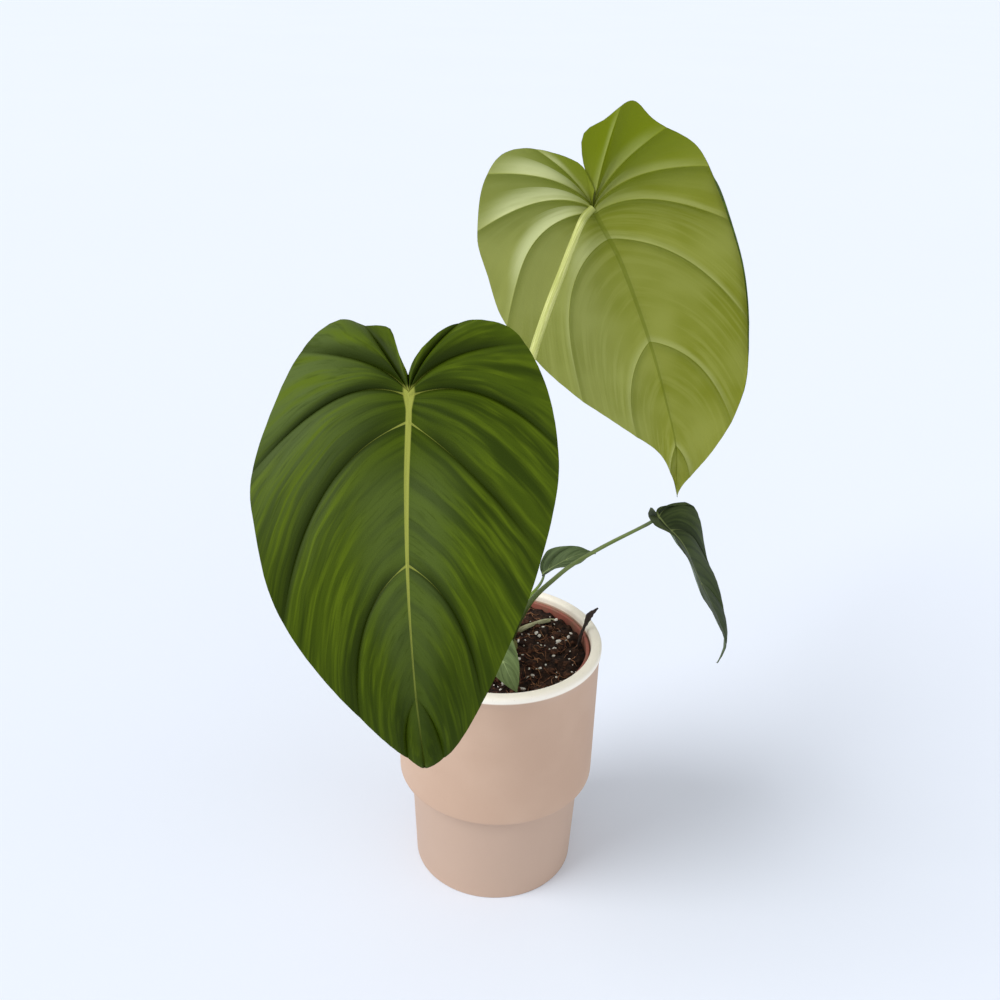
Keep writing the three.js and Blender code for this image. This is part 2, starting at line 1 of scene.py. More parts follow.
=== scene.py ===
"""Looks of a potted philodendron with heart-shaped, quilted leaves.

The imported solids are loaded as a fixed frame, and finer pieces take their places. Shapes are
drawn in millimetres, as in the part's source, and become metres where their meshes are made.
Azimuth 0 looks along +Y, and the front is towards -Y.
"""

import math
import random

import bmesh
import bpy
import numpy as np
from mathutils import Matrix, Vector


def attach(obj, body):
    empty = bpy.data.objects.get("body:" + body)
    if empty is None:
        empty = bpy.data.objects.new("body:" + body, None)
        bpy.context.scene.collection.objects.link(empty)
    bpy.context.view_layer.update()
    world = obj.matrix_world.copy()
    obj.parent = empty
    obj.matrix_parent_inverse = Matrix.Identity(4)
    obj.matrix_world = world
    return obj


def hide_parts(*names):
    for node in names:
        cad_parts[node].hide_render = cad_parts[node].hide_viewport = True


MM = 0.001
SEED = 11

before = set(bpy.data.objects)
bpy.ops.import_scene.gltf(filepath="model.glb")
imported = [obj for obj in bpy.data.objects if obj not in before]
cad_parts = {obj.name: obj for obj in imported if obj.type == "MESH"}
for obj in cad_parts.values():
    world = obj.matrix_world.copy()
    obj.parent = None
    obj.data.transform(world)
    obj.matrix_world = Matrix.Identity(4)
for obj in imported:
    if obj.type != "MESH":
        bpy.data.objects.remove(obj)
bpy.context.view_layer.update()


def add_object(name, data):
    """An object that is part of the scene"""
    made = bpy.data.objects.new(name, data)
    bpy.context.scene.collection.objects.link(made)
    return made


# Camera, at the photograph's viewing angle
LOOK_AT = Vector((-0.0021, 0, 0.2844))
CAMERA_DISTANCE = 0.7
CAMERA_ELEVATION = math.radians(26.08)
CAMERA_ROLL = math.radians(1.65)
LENS = 39.6
SENSOR_WIDTH = 36
NEAREST_SEEN = 0.01

camera_data = bpy.data.cameras.new("camera")
camera_data.lens = LENS
camera_data.sensor_width = SENSOR_WIDTH
camera_data.clip_start = NEAREST_SEEN
camera = add_object("camera", camera_data)
turn = Matrix.Rotation(math.pi / 2 - CAMERA_ELEVATION, 4, "X") @ Matrix.Rotation(CAMERA_ROLL, 4, "Z")
camera.matrix_world = Matrix.Translation(LOOK_AT) @ turn @ Matrix.Translation((0, 0, CAMERA_DISTANCE))
bpy.context.scene.camera = camera
bpy.context.scene.view_settings.view_transform = "Standard"


def colour(text):
    """A linear colour from its sRGB hex text"""
    parts = [int(text[i:i + 2], 16) / 255 for i in (1, 3, 5)]
    linear = [c / 12.92 if c <= 0.04045 else ((c + 0.055) / 1.055) ** 2.4 for c in parts]
    return (*linear, 1)


class Material:
    """A procedural material, whose nodes are made and linked by short calls. A value is another
    node's output, a number, or a colour's hex text."""

    def __init__(self, name, roughness, specular=0.5):
        self.material = bpy.data.materials.new(name)
        self.material.use_nodes = True
        self.tree = self.material.node_tree
        self.shader = self.tree.nodes["Principled BSDF"]
        self.shader.inputs["Roughness"].default_value = roughness
        self.shader.inputs["Specular IOR Level"].default_value = specular

    def node(self, kind, inputs, **settings):
        made = self.tree.nodes.new("ShaderNode" + kind)
        for key, value in settings.items():
            setattr(made, key, value)
        for key, value in dict(inputs).items():
            if hasattr(value, "is_linked"):
                self.tree.links.new(value, made.inputs[key])
            elif isinstance(value, str):
                made.inputs[key].default_value = colour(value)
            else:
                made.inputs[key].default_value = value
        return made

    def math(self, operation, *values):
        return self.node("Math", enumerate(values), operation=operation).outputs[0]

    def times(self, *values):
        """The product of two or more values"""
        product = values[0]
        for value in values[1:]:
            product = self.math("MULTIPLY", product, value)
        return product

    def vector(self, x, y, z=0.0):
        return self.node("CombineXYZ", {"X": x, "Y": y, "Z": z}).outputs[0]

    def uv(self, name):
        """The two numbers of a UV map"""
        both = self.node("UVMap", {}, uv_map=name).outputs[0]
        split = self.node("SeparateXYZ", {0: both})
        return split.outputs[0], split.outputs[1]

    def number(self, name):
        """A number that the mesh holds at each point"""
        return self.node("Attribute", {}, attribute_name=name).outputs["Fac"]

    def place(self):
        return self.node("TexCoord", {}).outputs["Object"]

    def height(self):
        return self.node("SeparateXYZ", {0: self.place()}).outputs[2]

    def noise(self, vector, scale, detail=3.0, roughness=0.55):
        inputs = {"Vector": vector, "Scale": scale, "Detail": detail, "Roughness": roughness}
        return self.node("TexNoise", inputs).outputs["Fac"]

    def cells(self, vector, scale):
        """Distance from the middle of the nearest of many random cells"""
        return self.node("TexVoronoi", {"Vector": vector, "Scale": scale}).outputs["Distance"]

    def step(self, value, low, high, to_low=0.0, to_high=1.0):
        """A smooth step from to_low at low to to_high at high"""
        inputs = {0: value, 1: low, 2: high, 3: to_low, 4: to_high}
        return self.node("MapRange", inputs, interpolation_type="SMOOTHSTEP").outputs[0]

    def mix(self, share, first, second, blend="MIX"):
        """The first colour, with a share of the second. A mix node's sockets 6 and 7 are its two
        colours, and its output 2 is the mixed one."""
        inputs = {0: share, 6: first, 7: second}
        return self.node("Mix", inputs, data_type="RGBA", blend_type=blend).outputs[2]

    def painted(self, base):
        """The material, with its base colour linked"""
        self.tree.links.new(base, self.shader.inputs["Base Color"])
        return self.material

    def bumpy(self, base, height, distance, strength=1.0):
        """The material, with its base colour and its bumps linked. distance is the height of the
        bumps, in metres."""
        inputs = {"Height": height, "Distance": distance, "Strength": strength}
        bump = self.node("Bump", inputs).outputs[0]
        self.tree.links.new(bump, self.shader.inputs["Normal"])
        return self.painted(base)


def finish_piece(mesh, materials, slot, *replaced, smooth_angle=50):
    """Shades a mesh smoothly, and gives the piece that is named after it its place in the part"""
    for material in materials:
        mesh.materials.append(material)
    mesh.shade_smooth()
    mesh.set_sharp_from_angle(angle=math.radians(smooth_angle))
    piece = add_object(mesh.name, mesh)
    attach(piece, "root")
    if replaced:
        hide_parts(*replaced)


def weld(mesh, distance, shortest=None):
    """Joins points that lie together, takes out edges shorter than the shortest one wanted, and
    turns every face outwards. Both distances are in metres."""
    work = bmesh.new()
    work.from_mesh(mesh)
    bmesh.ops.remove_doubles(work, verts=work.verts, dist=distance)
    if shortest:
        bmesh.ops.dissolve_degenerate(work, edges=work.edges, dist=shortest)
    bmesh.ops.recalc_face_normals(work, faces=work.faces)
    work.to_mesh(mesh)
    work.free()


def spline(values, t):
    """Rows of values read as a smooth curve, at t = 0..1"""
    values = np.asarray(values, float)
    last = len(values) - 1
    spot = np.clip(t, 0, 1) * last
    i = np.minimum(spot.astype(int), last - 1)
    w = spot - i
    if values.ndim > 1:
        w = w[:, None]
    before, a, b = values[np.maximum(i - 1, 0)], values[i], values[i + 1]
    after = values[np.minimum(i + 2, last)]
    lead, trail = (b - before) / 2, (after - a) / 2
    cubic = 2 * a - 2 * b + lead + trail
    square = 3 * b - 3 * a - 2 * lead - trail
    return cubic * w**3 + square * w**2 + lead * w + a


def unit(vector):
    vector = np.asarray(vector, float)
    return vector / np.linalg.norm(vector)


class Blade:
    """A leaf blade, drawn flat and then bent as in the part's source. x runs across from the
    midrib and y along it, u = 0..1 from midrib to margin, and v = 0..1 through the primary veins.

    arch is rows of y and slope, twist rows of y and turn, and fold rows of y and the angle of the
    right and left half, all in degrees. droop is the bend in degrees on 100 mm across, rib how far
    the midrib lies sideways at even steps along it, and puff the height of the quilting."""

    SWEEP = 0.45
    ARCH_STEPS = 241
    RIPPLES_PER_SPAN = 5
    RIPPLE_HEIGHT = 0.011
    ROLLED_THROUGH = math.radians(170)
    ROLL_FADE = 0.08
    LARGE_RIB_DEPTH = 1.6

    def __init__(self, at, heading, face, length, arch, fold, droop, right, left, veins, puff,
                 rib=(0, 0), twist=((0, 0),), lift=None, curl=None, rib_depth=LARGE_RIB_DEPTH,
                 rib_width=2.6, thickness=0.6):
        self.at = np.array(at, float)
        self.y_axis = unit(heading)
        self.z_axis = unit(face - np.dot(face, self.y_axis) * self.y_axis)
        self.x_axis = np.cross(self.y_axis, self.z_axis)
        self.length = length
        self.fold = np.array(fold, float)
        self.droop = droop
        self.outlines = {1: right, -1: left}
        self.veins = np.array(veins, float)
        self.spans = len(veins) - 1
        self.puff = puff
        self.rib = rib
        self.twist = np.array(twist, float)
        self.lift = lift
        self.curl = curl
        self.rib_depth = rib_depth
        self.rib_width = rib_width
        self.thickness = thickness
        arch = np.array(arch, float)
        self.track_y = np.linspace(arch[0, 0], arch[-1, 0], self.ARCH_STEPS)
        slope = np.radians(np.interp(self.track_y, arch[:, 0], arch[:, 1]))
        step = np.diff(self.track_y)
        run = np.append(0, np.cumsum(step * (np.cos(slope[1:]) + np.cos(slope[:-1])) / 2))
        rise = np.append(0, np.cumsum(step * (np.sin(slope[1:]) + np.sin(slope[:-1])) / 2))
        self.slope = slope
        self.run = run - np.interp(0, self.track_y, run)
        self.rise = rise - np.interp(0, self.track_y, rise)

    def flat(self, u, v, side):
        """Flat points on the side vein at v, which leaves the midrib and sweeps to the margin"""
        column = 1 if side > 0 else 2
        start = spline(self.veins[:, 0], v)
        leave = np.radians(spline(self.veins[:, column], v))
        outline = np.array(self.outlines[side], float) * (side, 1)
        margin = spline(outline, spline(self.veins[:, column + 2], v) / (len(outline) - 1))
        origin = np.stack([0 * start, start], -1)
        reach = np.linalg.norm(margin - origin, axis=1)[:, None] * self.SWEEP
        bend = origin + np.stack([np.sin(leave) * side, np.cos(leave)], -1) * reach
        w = u[:, None]
        return (1 - w) ** 2 * origin + 2 * w * (1 - w) * bend + w**2 * margin

    def place(self, x, y, height):
        """Points in space over flat points, raised along the blade's normal, in millimetres"""
        right = x >= 0
        rows, right_fold, left_fold = self.fold.T
        fold = np.where(right, np.interp(y, rows, right_fold), np.interp(y, rows, left_fold))
        fold = np.radians(fold)
        bend = math.radians(self.droop) / 100
        tilt = fold + bend * np.abs(x)
        midrib = np.abs(x) < 1e-6
        out = np.where(midrib, 0, (np.sin(tilt) - np.sin(fold)) / bend - height * np.sin(tilt))
        up = (np.cos(fold) - np.cos(tilt)) / bend + np.where(midrib, height, height * np.cos(tilt))
        out = np.where(right, out, -out)
        turned = np.radians(np.interp(y, self.twist[:, 0], self.twist[:, 1]))
        across = out * np.cos(turned) - up * np.sin(turned) + spline(self.rib, y / self.length)
        raised = out * np.sin(turned) + up * np.cos(turned)
        slope = np.interp(y, self.track_y, self.slope)
        run = np.interp(y, self.track_y, self.run) - raised * np.sin(slope)
        rise = np.interp(y, self.track_y, self.rise) + raised * np.cos(slope)
        sideways = self.at + np.outer(across, self.x_axis)
        return sideways + np.outer(run, self.y_axis) + np.outer(rise, self.z_axis)

    def relief(self, u, v, side, span):
        """Quilting: high between the primary veins and low along them, with fine ripples between.
        span is the distance from one primary vein to the next."""
        between = np.abs(np.sin(np.pi * v * self.spans)) ** 0.7
        height = self.puff * u**0.6 * (1 - 0.7 * u**3) * (between - 0.6)
        waves = 2 * np.pi * v * self.spans * self.RIPPLES_PER_SPAN
        ripples = np.sin(waves + 3 * np.sin(4 * u + 9 * v + side))
        height += self.RIPPLE_HEIGHT * span * ripples * between * u * (1 - 0.6 * u)
        if self.lift and self.lift["side"] == side:
            near = np.maximum(0, 1 - np.abs(v - self.lift["v"]) / self.lift["width"])
            edge = np.maximum(0, (u - self.lift["from"]) / (1 - self.lift["from"]))
            height += self.lift["height"] * near**2 * (3 - 2 * near) * edge**2
        return height

    def curled(self, u, v, side):
        """The margin's roll towards the underside: the place of each u on the sheet, how far it
        has sunk in millimetres, and the angle that it has turned through"""
        if not self.curl or self.curl["side"] != side:
            return u, 0 * u, 0 * u
        start, size = self.curl["start"], self.curl["size"]
        begun = np.clip((v - self.curl["from"]) / self.ROLL_FADE, 0, 1)
        share = begun * np.clip((self.curl["to"] - v) / self.ROLL_FADE, 0, 1)
        turned = np.clip((u - start) / (1 - start), 0, 1) * self.ROLLED_THROUGH * share
        rolled = (1 - share) * u + share * (1 - size + size * np.sin(turned))
        edge = (1 - share) * start + share * (1 - size)
        sheet = np.where(u < start, u * edge / start, rolled)
        return sheet, self.curl["depth"] * (1 - np.cos(turned)), turned

    def midrib(self, x, y):
        """How far the midrib stands out of the underside"""
        away = np.where(y < 0, np.hypot(x, y), np.abs(x))
        taper = np.clip(1 - y / self.length, 0, 1)
        width = self.rib_width * (0.35 + 0.65 * taper)
        return self.rib_depth * taper * np.exp(-((away / width) ** 2))


# Half the width of a large blade in millimetres, which turns a distance into a share of u
HALF_BLADE = 75
# A small step in v, by which distances along v are measured
V_STEP = 0.002
# The u at which the distance across the side veins is measured
MIDWAY = 0.55
# Width of the groove along a primary vein, in millimetres
VEIN_GROOVE = 0.9


def steps_to_veins(spans, per_span):
    """Places v = 0..1 through the veins, closer together near each vein"""
    t = np.arange(spans * per_span + 1) / per_span
    return (t - 0.13 * np.sin(2 * np.pi * t)) / spans


def blade_mesh(name, blade, per_span, across):
    """A blade's closed skin, with its drawing coordinates as UV maps and its upper and under sides
    as material 0 and 1. Vein coordinates are u and v times the number of spans between veins."""
    v_steps = steps_to_veins(blade.spans, per_span)
    t = np.linspace(0, 1, across + 1)
    u_steps = t - 0.11 * np.sin(2 * np.pi * t) - 0.06 * (t - t**2)
    rows, columns = len(v_steps), len(u_steps)
    v, u = (grid.ravel() for grid in np.meshgrid(v_steps, u_steps, indexing="ij"))
    points, faces, face_sides, drawn, spread, passed = [], [], [], [], [], []
    for side in (1, -1):
        flat = blade.flat(u, v, side)
        shifted = blade.flat(u, np.clip(v + V_STEP, 0, 1), side)
        span = np.linalg.norm(shifted - flat, axis=1) / V_STEP / blade.spans
        x, y = flat[:, 0], flat[:, 1]
        from_vein = np.abs(v * blade.spans - np.round(v * blade.spans)) * span
        halfway = blade.flat(np.full(rows, MIDWAY), v_steps, side)
        across_veins = np.append(0, np.cumsum(np.linalg.norm(np.diff(halfway, axis=0), axis=1)))
        relief = blade.relief(u, v, side, span)
        groove = np.exp(-((from_vein / VEIN_GROOVE) ** 2)) * u**0.3 * (1 - u) ** 0.7
        half = blade.thickness / 2 * (1 - 0.55 * u**6)
        rib = blade.midrib(x, y)
        sheet, sunk, turned = blade.curled(u, v, side)
        top = 0.35 * rib - 0.5 * groove
        bottom = -rib - 0.7 * groove * (blade.rib_depth / blade.LARGE_RIB_DEPTH)
        for layer, (face, swell) in enumerate(((1, top), (-1, bottom))):
            skin = blade.flat(sheet + face * half / HALF_BLADE * np.sin(turned), v, side)
            height = relief + swell - sunk + face * half * np.cos(turned)
            base = len(points) * rows * columns
            points.append(blade.place(skin[:, 0], skin[:, 1], height))
            index = base + np.arange(rows * columns).reshape(rows, columns)
            quads = np.stack([index[:-1, :-1], index[1:, :-1], index[1:, 1:], index[:-1, 1:]], -1)
            quads = quads.reshape(-1, 4)
            if (side < 0) == (layer == 0):
                quads = quads[:, ::-1]
            faces.append(quads)
            face_sides.append(np.full(len(quads), layer))
            drawn.append(np.stack([u, v * blade.spans, x, y], -1))
            spread.append(span)
            passed.append(np.repeat(across_veins, columns))
        rim = np.arange(rows) * columns + columns - 1
        upper, lower = base - rows * columns + rim, base + rim
        edge = np.stack([upper[:-1], lower[:-1], lower[1:], upper[1:]], -1)
        faces.append(edge if side > 0 else edge[:, ::-1])
        face_sides.append(np.zeros(len(edge)))
    mesh = bpy.data.meshes.new(name)
    corners = np.concatenate(faces)
    mesh.from_pydata((np.concatenate(points) * MM).tolist(), [], corners.tolist())
    drawn = np.concatenate(drawn)[corners.ravel()].astype(np.float32)
    mesh.uv_layers.new(name="veins").uv.foreach_set("vector", drawn[:, :2].ravel())
    mesh.uv_layers.new(name="flat").uv.foreach_set("vector", drawn[:, 2:].ravel())
    for key, values in (("span", spread), ("passed", passed)):
        mesh.attributes.new(key, "FLOAT", "POINT").data.foreach_set("value", np.concatenate(values))
    mesh.polygons.foreach_set("material_index", np.concatenate(face_sides).astype(np.int32))
    weld(mesh, 2e-6, shortest=1e-6)
    return mesh


def leaf_places(made):
    """Where a point lies on a blade: u and v, x and y, its distance in millimetres from the nearest
    primary vein, and the same with a sign: below 0 towards the sinus, and above 0 towards the tip"""
    u, v = made.uv("veins")
    x, y = made.uv("flat")
    turned = made.math("SUBTRACT", made.math("FRACT", made.math("ADD", v, 0.5)), 0.5)
    signed = made.times(turned, made.number("span"))
    return u, v, x, y, made.math("ABSOLUTE", signed), signed


def leaf_top(name, blade, dark, middle, light, painted_sheen, rib, rib_width=1.8, stripe=6.0):
    """Upper side: quilted green with paler stripes along the side veins, valleys along the primary
    veins darkened with painted shade, a painted greyish sheen, and a pale midrib. rib_width and
    stripe are widths, in millimetres."""
    length = blade.length
    made = Material(name, roughness=0.46, specular=0.07)
    u, v, x, y, from_vein, signed = leaf_places(made)

    # Streaks along the side veins, in three widths
    bent = made.times(made.noise(made.vector(x, y), 0.03, 1), 0.8)
    bent = made.math("ADD", made.math("DIVIDE", made.number("passed"), stripe), bent)
    side = made.times(made.math("SIGN", x), 40.0)
    broad = made.noise(made.vector(made.times(u, 1.4), bent, side), 0.55, 2)
    narrow = made.noise(made.vector(made.times(u, 1.7), bent, side), 1.2, 2)
    fine = made.noise(made.vector(made.times(u, 1.6), bent, side), 3.5, 2)
    base = made.mix(made.step(broad, 0.36, 0.6), dark, middle)

    # Painted sheen, a greyish highlight on the right half and beside the midrib
    sheen_on_half = made.times(made.step(x, 0.0, 60.0, 0.0, 0.5), made.step(y, -10.0, 110.0, 1.0, 0.0))
    sheen_beside_rib = made.times(made.step(u, 0.15, 0.6, 0.24, 0.0),
                            made.step(y, length * 0.1, length * 0.3),
                            made.step(y, length * 0.6, length, 1.0, 0.3))
    base = made.mix(made.math("MAXIMUM", sheen_on_half, sheen_beside_rib), base, painted_sheen)

    # Pale stripes between the primary veins, and darker green towards the tip
    pale = made.times(made.step(narrow, 0.42, 0.68),
                      made.step(broad, 0.3, 0.55, 0.35, 1.0),
                      made.step(u, 0.2, 0.6, 0.12, 1.0),
                      made.step(from_vein, 0.8, 5.0))
    base = made.mix(made.times(pale, 0.75), base, light)
    base = made.mix(made.step(y, length * 0.45, length, 0.0, 0.55), base, dark)
    base = made.mix(made.step(fine, 0.5, 0.75, 0.0, 0.4), base, dark)

    # Shaded valleys along the primary veins, apart from the last ones
    shaded = made.times(made.step(signed, -10.0, -0.5),
                        made.step(signed, 0.0, 3.0, 1.0, 0.0),
                        made.step(u, 0.05, 0.25, 0.3, 1.0),
                        made.step(u, 0.7, 1.0, 1.0, 0.4),
                        made.step(v, blade.spans - 2.0, blade.spans - 1.4, 1.0, 0.0))
    base = made.mix(made.times(shaded, 0.75), base, dark)
    base = made.mix(made.times(shaded, 0.3), base, "#000000")

    # Each primary vein as a pale thread where it leaves the midrib
    beside = made.math("SUBTRACT", from_vein, made.step(u, 0.0, 0.12, 0.7, 0.12))
    thread = made.times(made.step(beside, -0.15, 0.25, 0.75, 0.0),
                        made.step(u, 0.05, 0.4, 1.0, 0.0),
                        made.step(y, length * 0.5, length * 0.7, 1.0, 0.0))
    base = made.mix(thread, base, rib)

    # Midrib, which narrows towards the tip
    half_width = made.times(made.step(y, 0.0, 11.0, rib_width * 1.9, rib_width),
                            made.step(y, 10.0, length * 0.75, 1.0, 0.3))
    off_rib = made.math("DIVIDE", made.math("ABSOLUTE", x), half_width)
    on_rib = made.times(made.step(off_rib, 0.7, 1.1, 1.0, 0.0),
                        made.step(y, -5.0, -1.0),
                        made.step(y, length * 0.3, length, 1.0, 0.1))
    base = made.mix(on_rib, base, rib)
    grain = made.math("ADD", made.times(fine, 0.5), made.noise(made.vector(x, y), 1.3, 4))
    return made.bumpy(base, grain, 0.0003, 0.5)


def leaf_under(name, blade, tone, pale, backlit_tone, highlight, vein_and_shade, rib_width, stripe=6.0):
    """Underside: paler and duller, yellower at the lobes where painted light shines through, with a
    painted sheen on the left half, and fine dark veins with painted shade on their tip side and
    painted highlights along the side of the sinus, most of all on the left lobe"""
    made = Material(name, roughness=0.42, specular=0.12)
    u, _, x, y, from_vein, signed = leaf_places(made)

    # Ground tone, in patches and in streaks along the side veins
    across = made.math("DIVIDE", made.number("passed"), stripe)
    streaks = made.noise(made.vector(made.times(u, 1.3), across), 1.0, 4)
    patches = made.noise(made.vector(x, y), 0.016, 2)
    base = made.mix(made.step(patches, 0.35, 0.65), tone, pale)
    base = made.mix(made.step(streaks, 0.42, 0.66, 0.0, 0.75), base, pale)
    # Painted light shining through the lobes, as a yellower tone
    backlit_share = made.times(made.step(y, -40.0, 30.0, 1.0, 0.0), made.step(x, -60.0, 10.0, 0.35, 1.0))
    base = made.mix(backlit_share, base, backlit_tone)
    # Painted sheen, paler on the left half
    base = made.mix(made.step(x, -38.0, 4.0, 0.16, 0.0), base, highlight)

    # Each primary vein's shaded side, and its lit side, which is broadest on the left lobe
    shaded = made.times(made.step(signed, 0.0, 0.8), made.step(signed, 1.5, 9.0, 0.3, 0.0))
    base = made.mix(shaded, base, vein_and_shade)
    left_lobe = made.times(made.step(x, -30.0, 8.0, 1.0, 0.0), made.step(y, 0.0, 60.0, 1.0, 0.0))
    band = made.step(left_lobe, 0.0, 1.0, -7.0, -17.0)
    lit = made.times(made.step(made.math("DIVIDE", signed, band), 0.1, 1.0, 1.0, 0.0),
                     made.step(signed, -0.7, 0.1, 1.0, 0.0),
                     made.step(streaks, 0.3, 0.6, 0.6, 1.0),
                     made.step(u, 0.75, 1.0, 1.0, 0.3),
                     made.step(left_lobe, 0.0, 1.0, 0.22, 1.0))
    base = made.mix(lit, base, highlight)

    # Veins and midrib
    on_vein = made.times(made.step(from_vein, 0.15, 0.55, 1.0, 0.0), made.step(u, 0.5, 1.0, 0.65, 0.15))
    base = made.mix(on_vein, base, vein_and_shade)
    half_width = made.step(y, -3.0, blade.length, rib_width, 0.4)
    off_rib = made.math("DIVIDE", made.math("ABSOLUTE", x), half_width)
    on_rib = made.times(made.step(off_rib, 0.7, 1.1, 0.5, 0.0), made.step(y, -5.0, -1.0))
    base = made.mix(on_rib, base, vein_and_shade)
    return made.bumpy(base, made.noise(made.vector(x, y), 1.1, 4), 0.0003, 0.4)


# Leaf drawings. Outlines are rows of distance from the midrib and y, from the sinus to the tip.
# Rows of veins are the y where it starts, the angle at which it leaves in the right and left half,
# and the outline point at which it ends in each.
FRONT = Blade(
    at=(-51.6, -85, 387.1), heading=(16.0, -111.5, -165.6), face=(43.2, -506.2, 298.1), length=202,
    arch=[(-70, 30), (0, 8), (60, 0), (140, -12), (205, -35)], fold=[(-70, 0, 0), (0, 8, 8)], droop=-12,
    rib=(0, 3.2, 4.5, 3.2, 0),
    right=[(0, -11), (5, -24), (9, -40), (22, -44), (36, -47), (54, -29), (70, 8), (79, 44), (76, 72),
           (69, 104), (56, 131), (32, 165), (11, 191), (0, 202)],
    left=[(0, -11), (4, -20), (12, -30), (24, -40), (40, -43), (60, -33), (73, 3), (79, 40), (75, 70),
          (65, 102), (53, 128), (34, 163), (14, 192), (0, 202)],
    veins=[(0, 180, 180, 0, 0), (0, 154, 164, 3, 3.3), (0, 148, 148, 5.1, 5.2), (2, 118, 112, 6.9, 6.8),
           (16, 69, 54, 9.5, 8.6), (91, 56, 58, 11.1, 11), (160, 34, 34, 12.2, 12.2), (202, 10, 10, 13, 13)],
    lift={"side": 1, "v": 0.16, "width": 0.13, "from": 0.7, "height": -2.5}, puff=6.2)
REAR = Blade(
    at=(51.1, 75, 454.8), heading=(76.4, 20, -208.7), face=(91.4, 713.7, -91.7), length=218,
    arch=[(-70, 10), (0, 4), (60, 0), (140, -4), (220, -10)], fold=[(-70, 0, 0), (0, 5, 5)], droop=-8,
    rib=(0, 6.5, 9.5, 11, 10.5, 8.5, 0),
    right=[(4, -11), (2, -28), (7, -46), (22, -51), (40, -57), (50, -41), (70, -18), (76, 8), (74, 36),
           (72, 72), (65, 110), (53, 154), (27, 191), (7, 209), (0, 218)],
    left=[(-4, -11), (-1, -27), (11, -39), (28, -49), (46, -49), (62, -34), (75, -7), (82, 18), (88, 54),
          (77, 94), (62, 122), (39, 152), (14, 181), (3, 203), (0, 218)],
    veins=[(0, 180, 180, 0, 0), (0, 155, 172, 3.6, 2.7), (0, 143, 160, 5.3, 4.6), (1, 130, 138, 6.6, 6),
           (4, 107, 108, 8, 8.2), (23, 71, 75, 9.9, 10.3), (100, 64, 54, 11.5, 11.5),
           (180, 32, 32, 12.8, 12.8), (218, 10, 10, 14, 14)], puff=6,
    curl={"side": 1, "from": 0.34, "to": 0.74, "start": 0.955, "size": 0.018, "depth": 1.4})

YOUNG_DRAWN_LENGTH = 200


def young_blade(length, outline, far_outline=None, width=1.0, **rest):
    """A young leaf, whose outline is scaled from its drawn length"""
    scale = length / YOUNG_DRAWN_LENGTH
    halves = [[(x * scale * width, y * scale) for x, y in half]
              for half in (outline, far_outline or outline)]
    veins = [(0, 180, 180, 0, 0), (0, 130, 130, 3.2, 3.2), (0, 96, 96, 6, 6),
             (0.1 * length, 60, 60, 8.4, 8.4), (0.45 * length, 45, 45, 10, 10), (length, 10, 10, 12, 12)]
    return Blade(length=length, right=halves[0], left=halves[1], veins=veins, puff=3 * scale,
                 rib_depth=0.7, rib_width=1.6, thickness=0.5, **rest)


SIDE = young_blade(
    at=(99.5, 0, 275.2), heading=(1, -4.1, -100), face=(0.882, -0.098, 0.461), length=121,
    arch=[(-12, 8), (0, 37.8), (12, 50), (35, 24), (60, 30), (95, 22), (108, -12), (119, -17)],
    fold=[(-12, 12, 14), (0, 30, 13), (6, 36, 12.5), (12, 32, 12), (35, 27, 4), (50, 24, 1.6), (120, 24, 0)],
    droop=-10, twist=((0, -18),),
    outline=[(0, -5), (6, -13), (18, -21), (31, -19), (40, -10), (44, 6), (53, 30), (55, 46), (46, 76),
             (36, 106), (18, 142), (4, 179), (0, 200)],
    far_outline=[(0, -5), (5, -8), (13, -6), (25, 3), (40, 19), (50, 26), (54, 33), (50, 45), (38, 79),
                 (34, 109), (22, 142), (6, 177), (0, 200)])
SMALL = young_blade(
    at=(29.3, 26, 216.2), heading=(28.7, 6, 0.3), face=(-0.2, -0.2, 1), length=40,
    arch=[(-12, 42), (0, 42), (8, 35), (16, 31), (24, 24), (32, 4), (40, -18)],
    fold=[(0, 36, 20), (10, 38, 20), (14, 33, 20), (18, 22, 20), (22, 9, 20), (27, -4, 20), (34, -12, 20)],
    droop=-30,
    outline=[(0, -5), (10, -5), (25, 6), (46, 22), (65, 36), (71, 51), (67, 75), (56, 100), (43, 127),
             (30, 150), (14, 171), (5, 189), (0, 200)])
LOW = young_blade(
    at=(-5.5, -22, 196), heading=(17.9, -26, -25.4), face=(0.1, -1, 0.8), length=41.5, width=0.72,
    arch=[(-12, 12), (0, 10), (12, 4), (24, -4), (43, -10)], fold=[(0, 8, 8)], droop=-20,
    outline=[(0, -11), (5, -24), (14, -38), (32, -44), (54, -36), (70, -8), (77, 26), (76, 60),
             (67, 100), (50, 136), (26, 170), (8, 188), (0, 200)])


def leaf(name, blade, slot, top, under, per_span, across):
    """A blade's piece. per_span and across are its mesh's steps between two primary veins, and from
    the midrib to the margin."""
    mesh = blade_mesh(f"{name}_leaf", blade, per_span, across)
    finish_piece(mesh, [top, under], slot, f"{name}_blade")


leaf("front", FRONT, "front_blade",
     leaf_top("front_top", FRONT, dark="#293802", middle="#3e4f06", light="#596c0e", painted_sheen="#697a46",
              rib="#959b46"),
     leaf_under("front_under", FRONT, tone="#5c6b2c", pale="#728044", backlit_tone="#64751c", highlight="#8e9a60",
                vein_and_shade="#525d16", rib_width=2.0), per_span=22, across=44)
leaf("rear", REAR, "rear_blade",
     leaf_top("rear_top", REAR, dark="#2c3c05", middle="#425510", light="#587014", painted_sheen="#5f7040",
              rib="#838a36"),
     leaf_under("rear_under", REAR, tone="#7b8220", pale="#8f9540", backlit_tone="#727f06", highlight="#c4ca90",
                vein_and_shade="#5f6a08", rib_width=1.6), per_span=22, across=44)

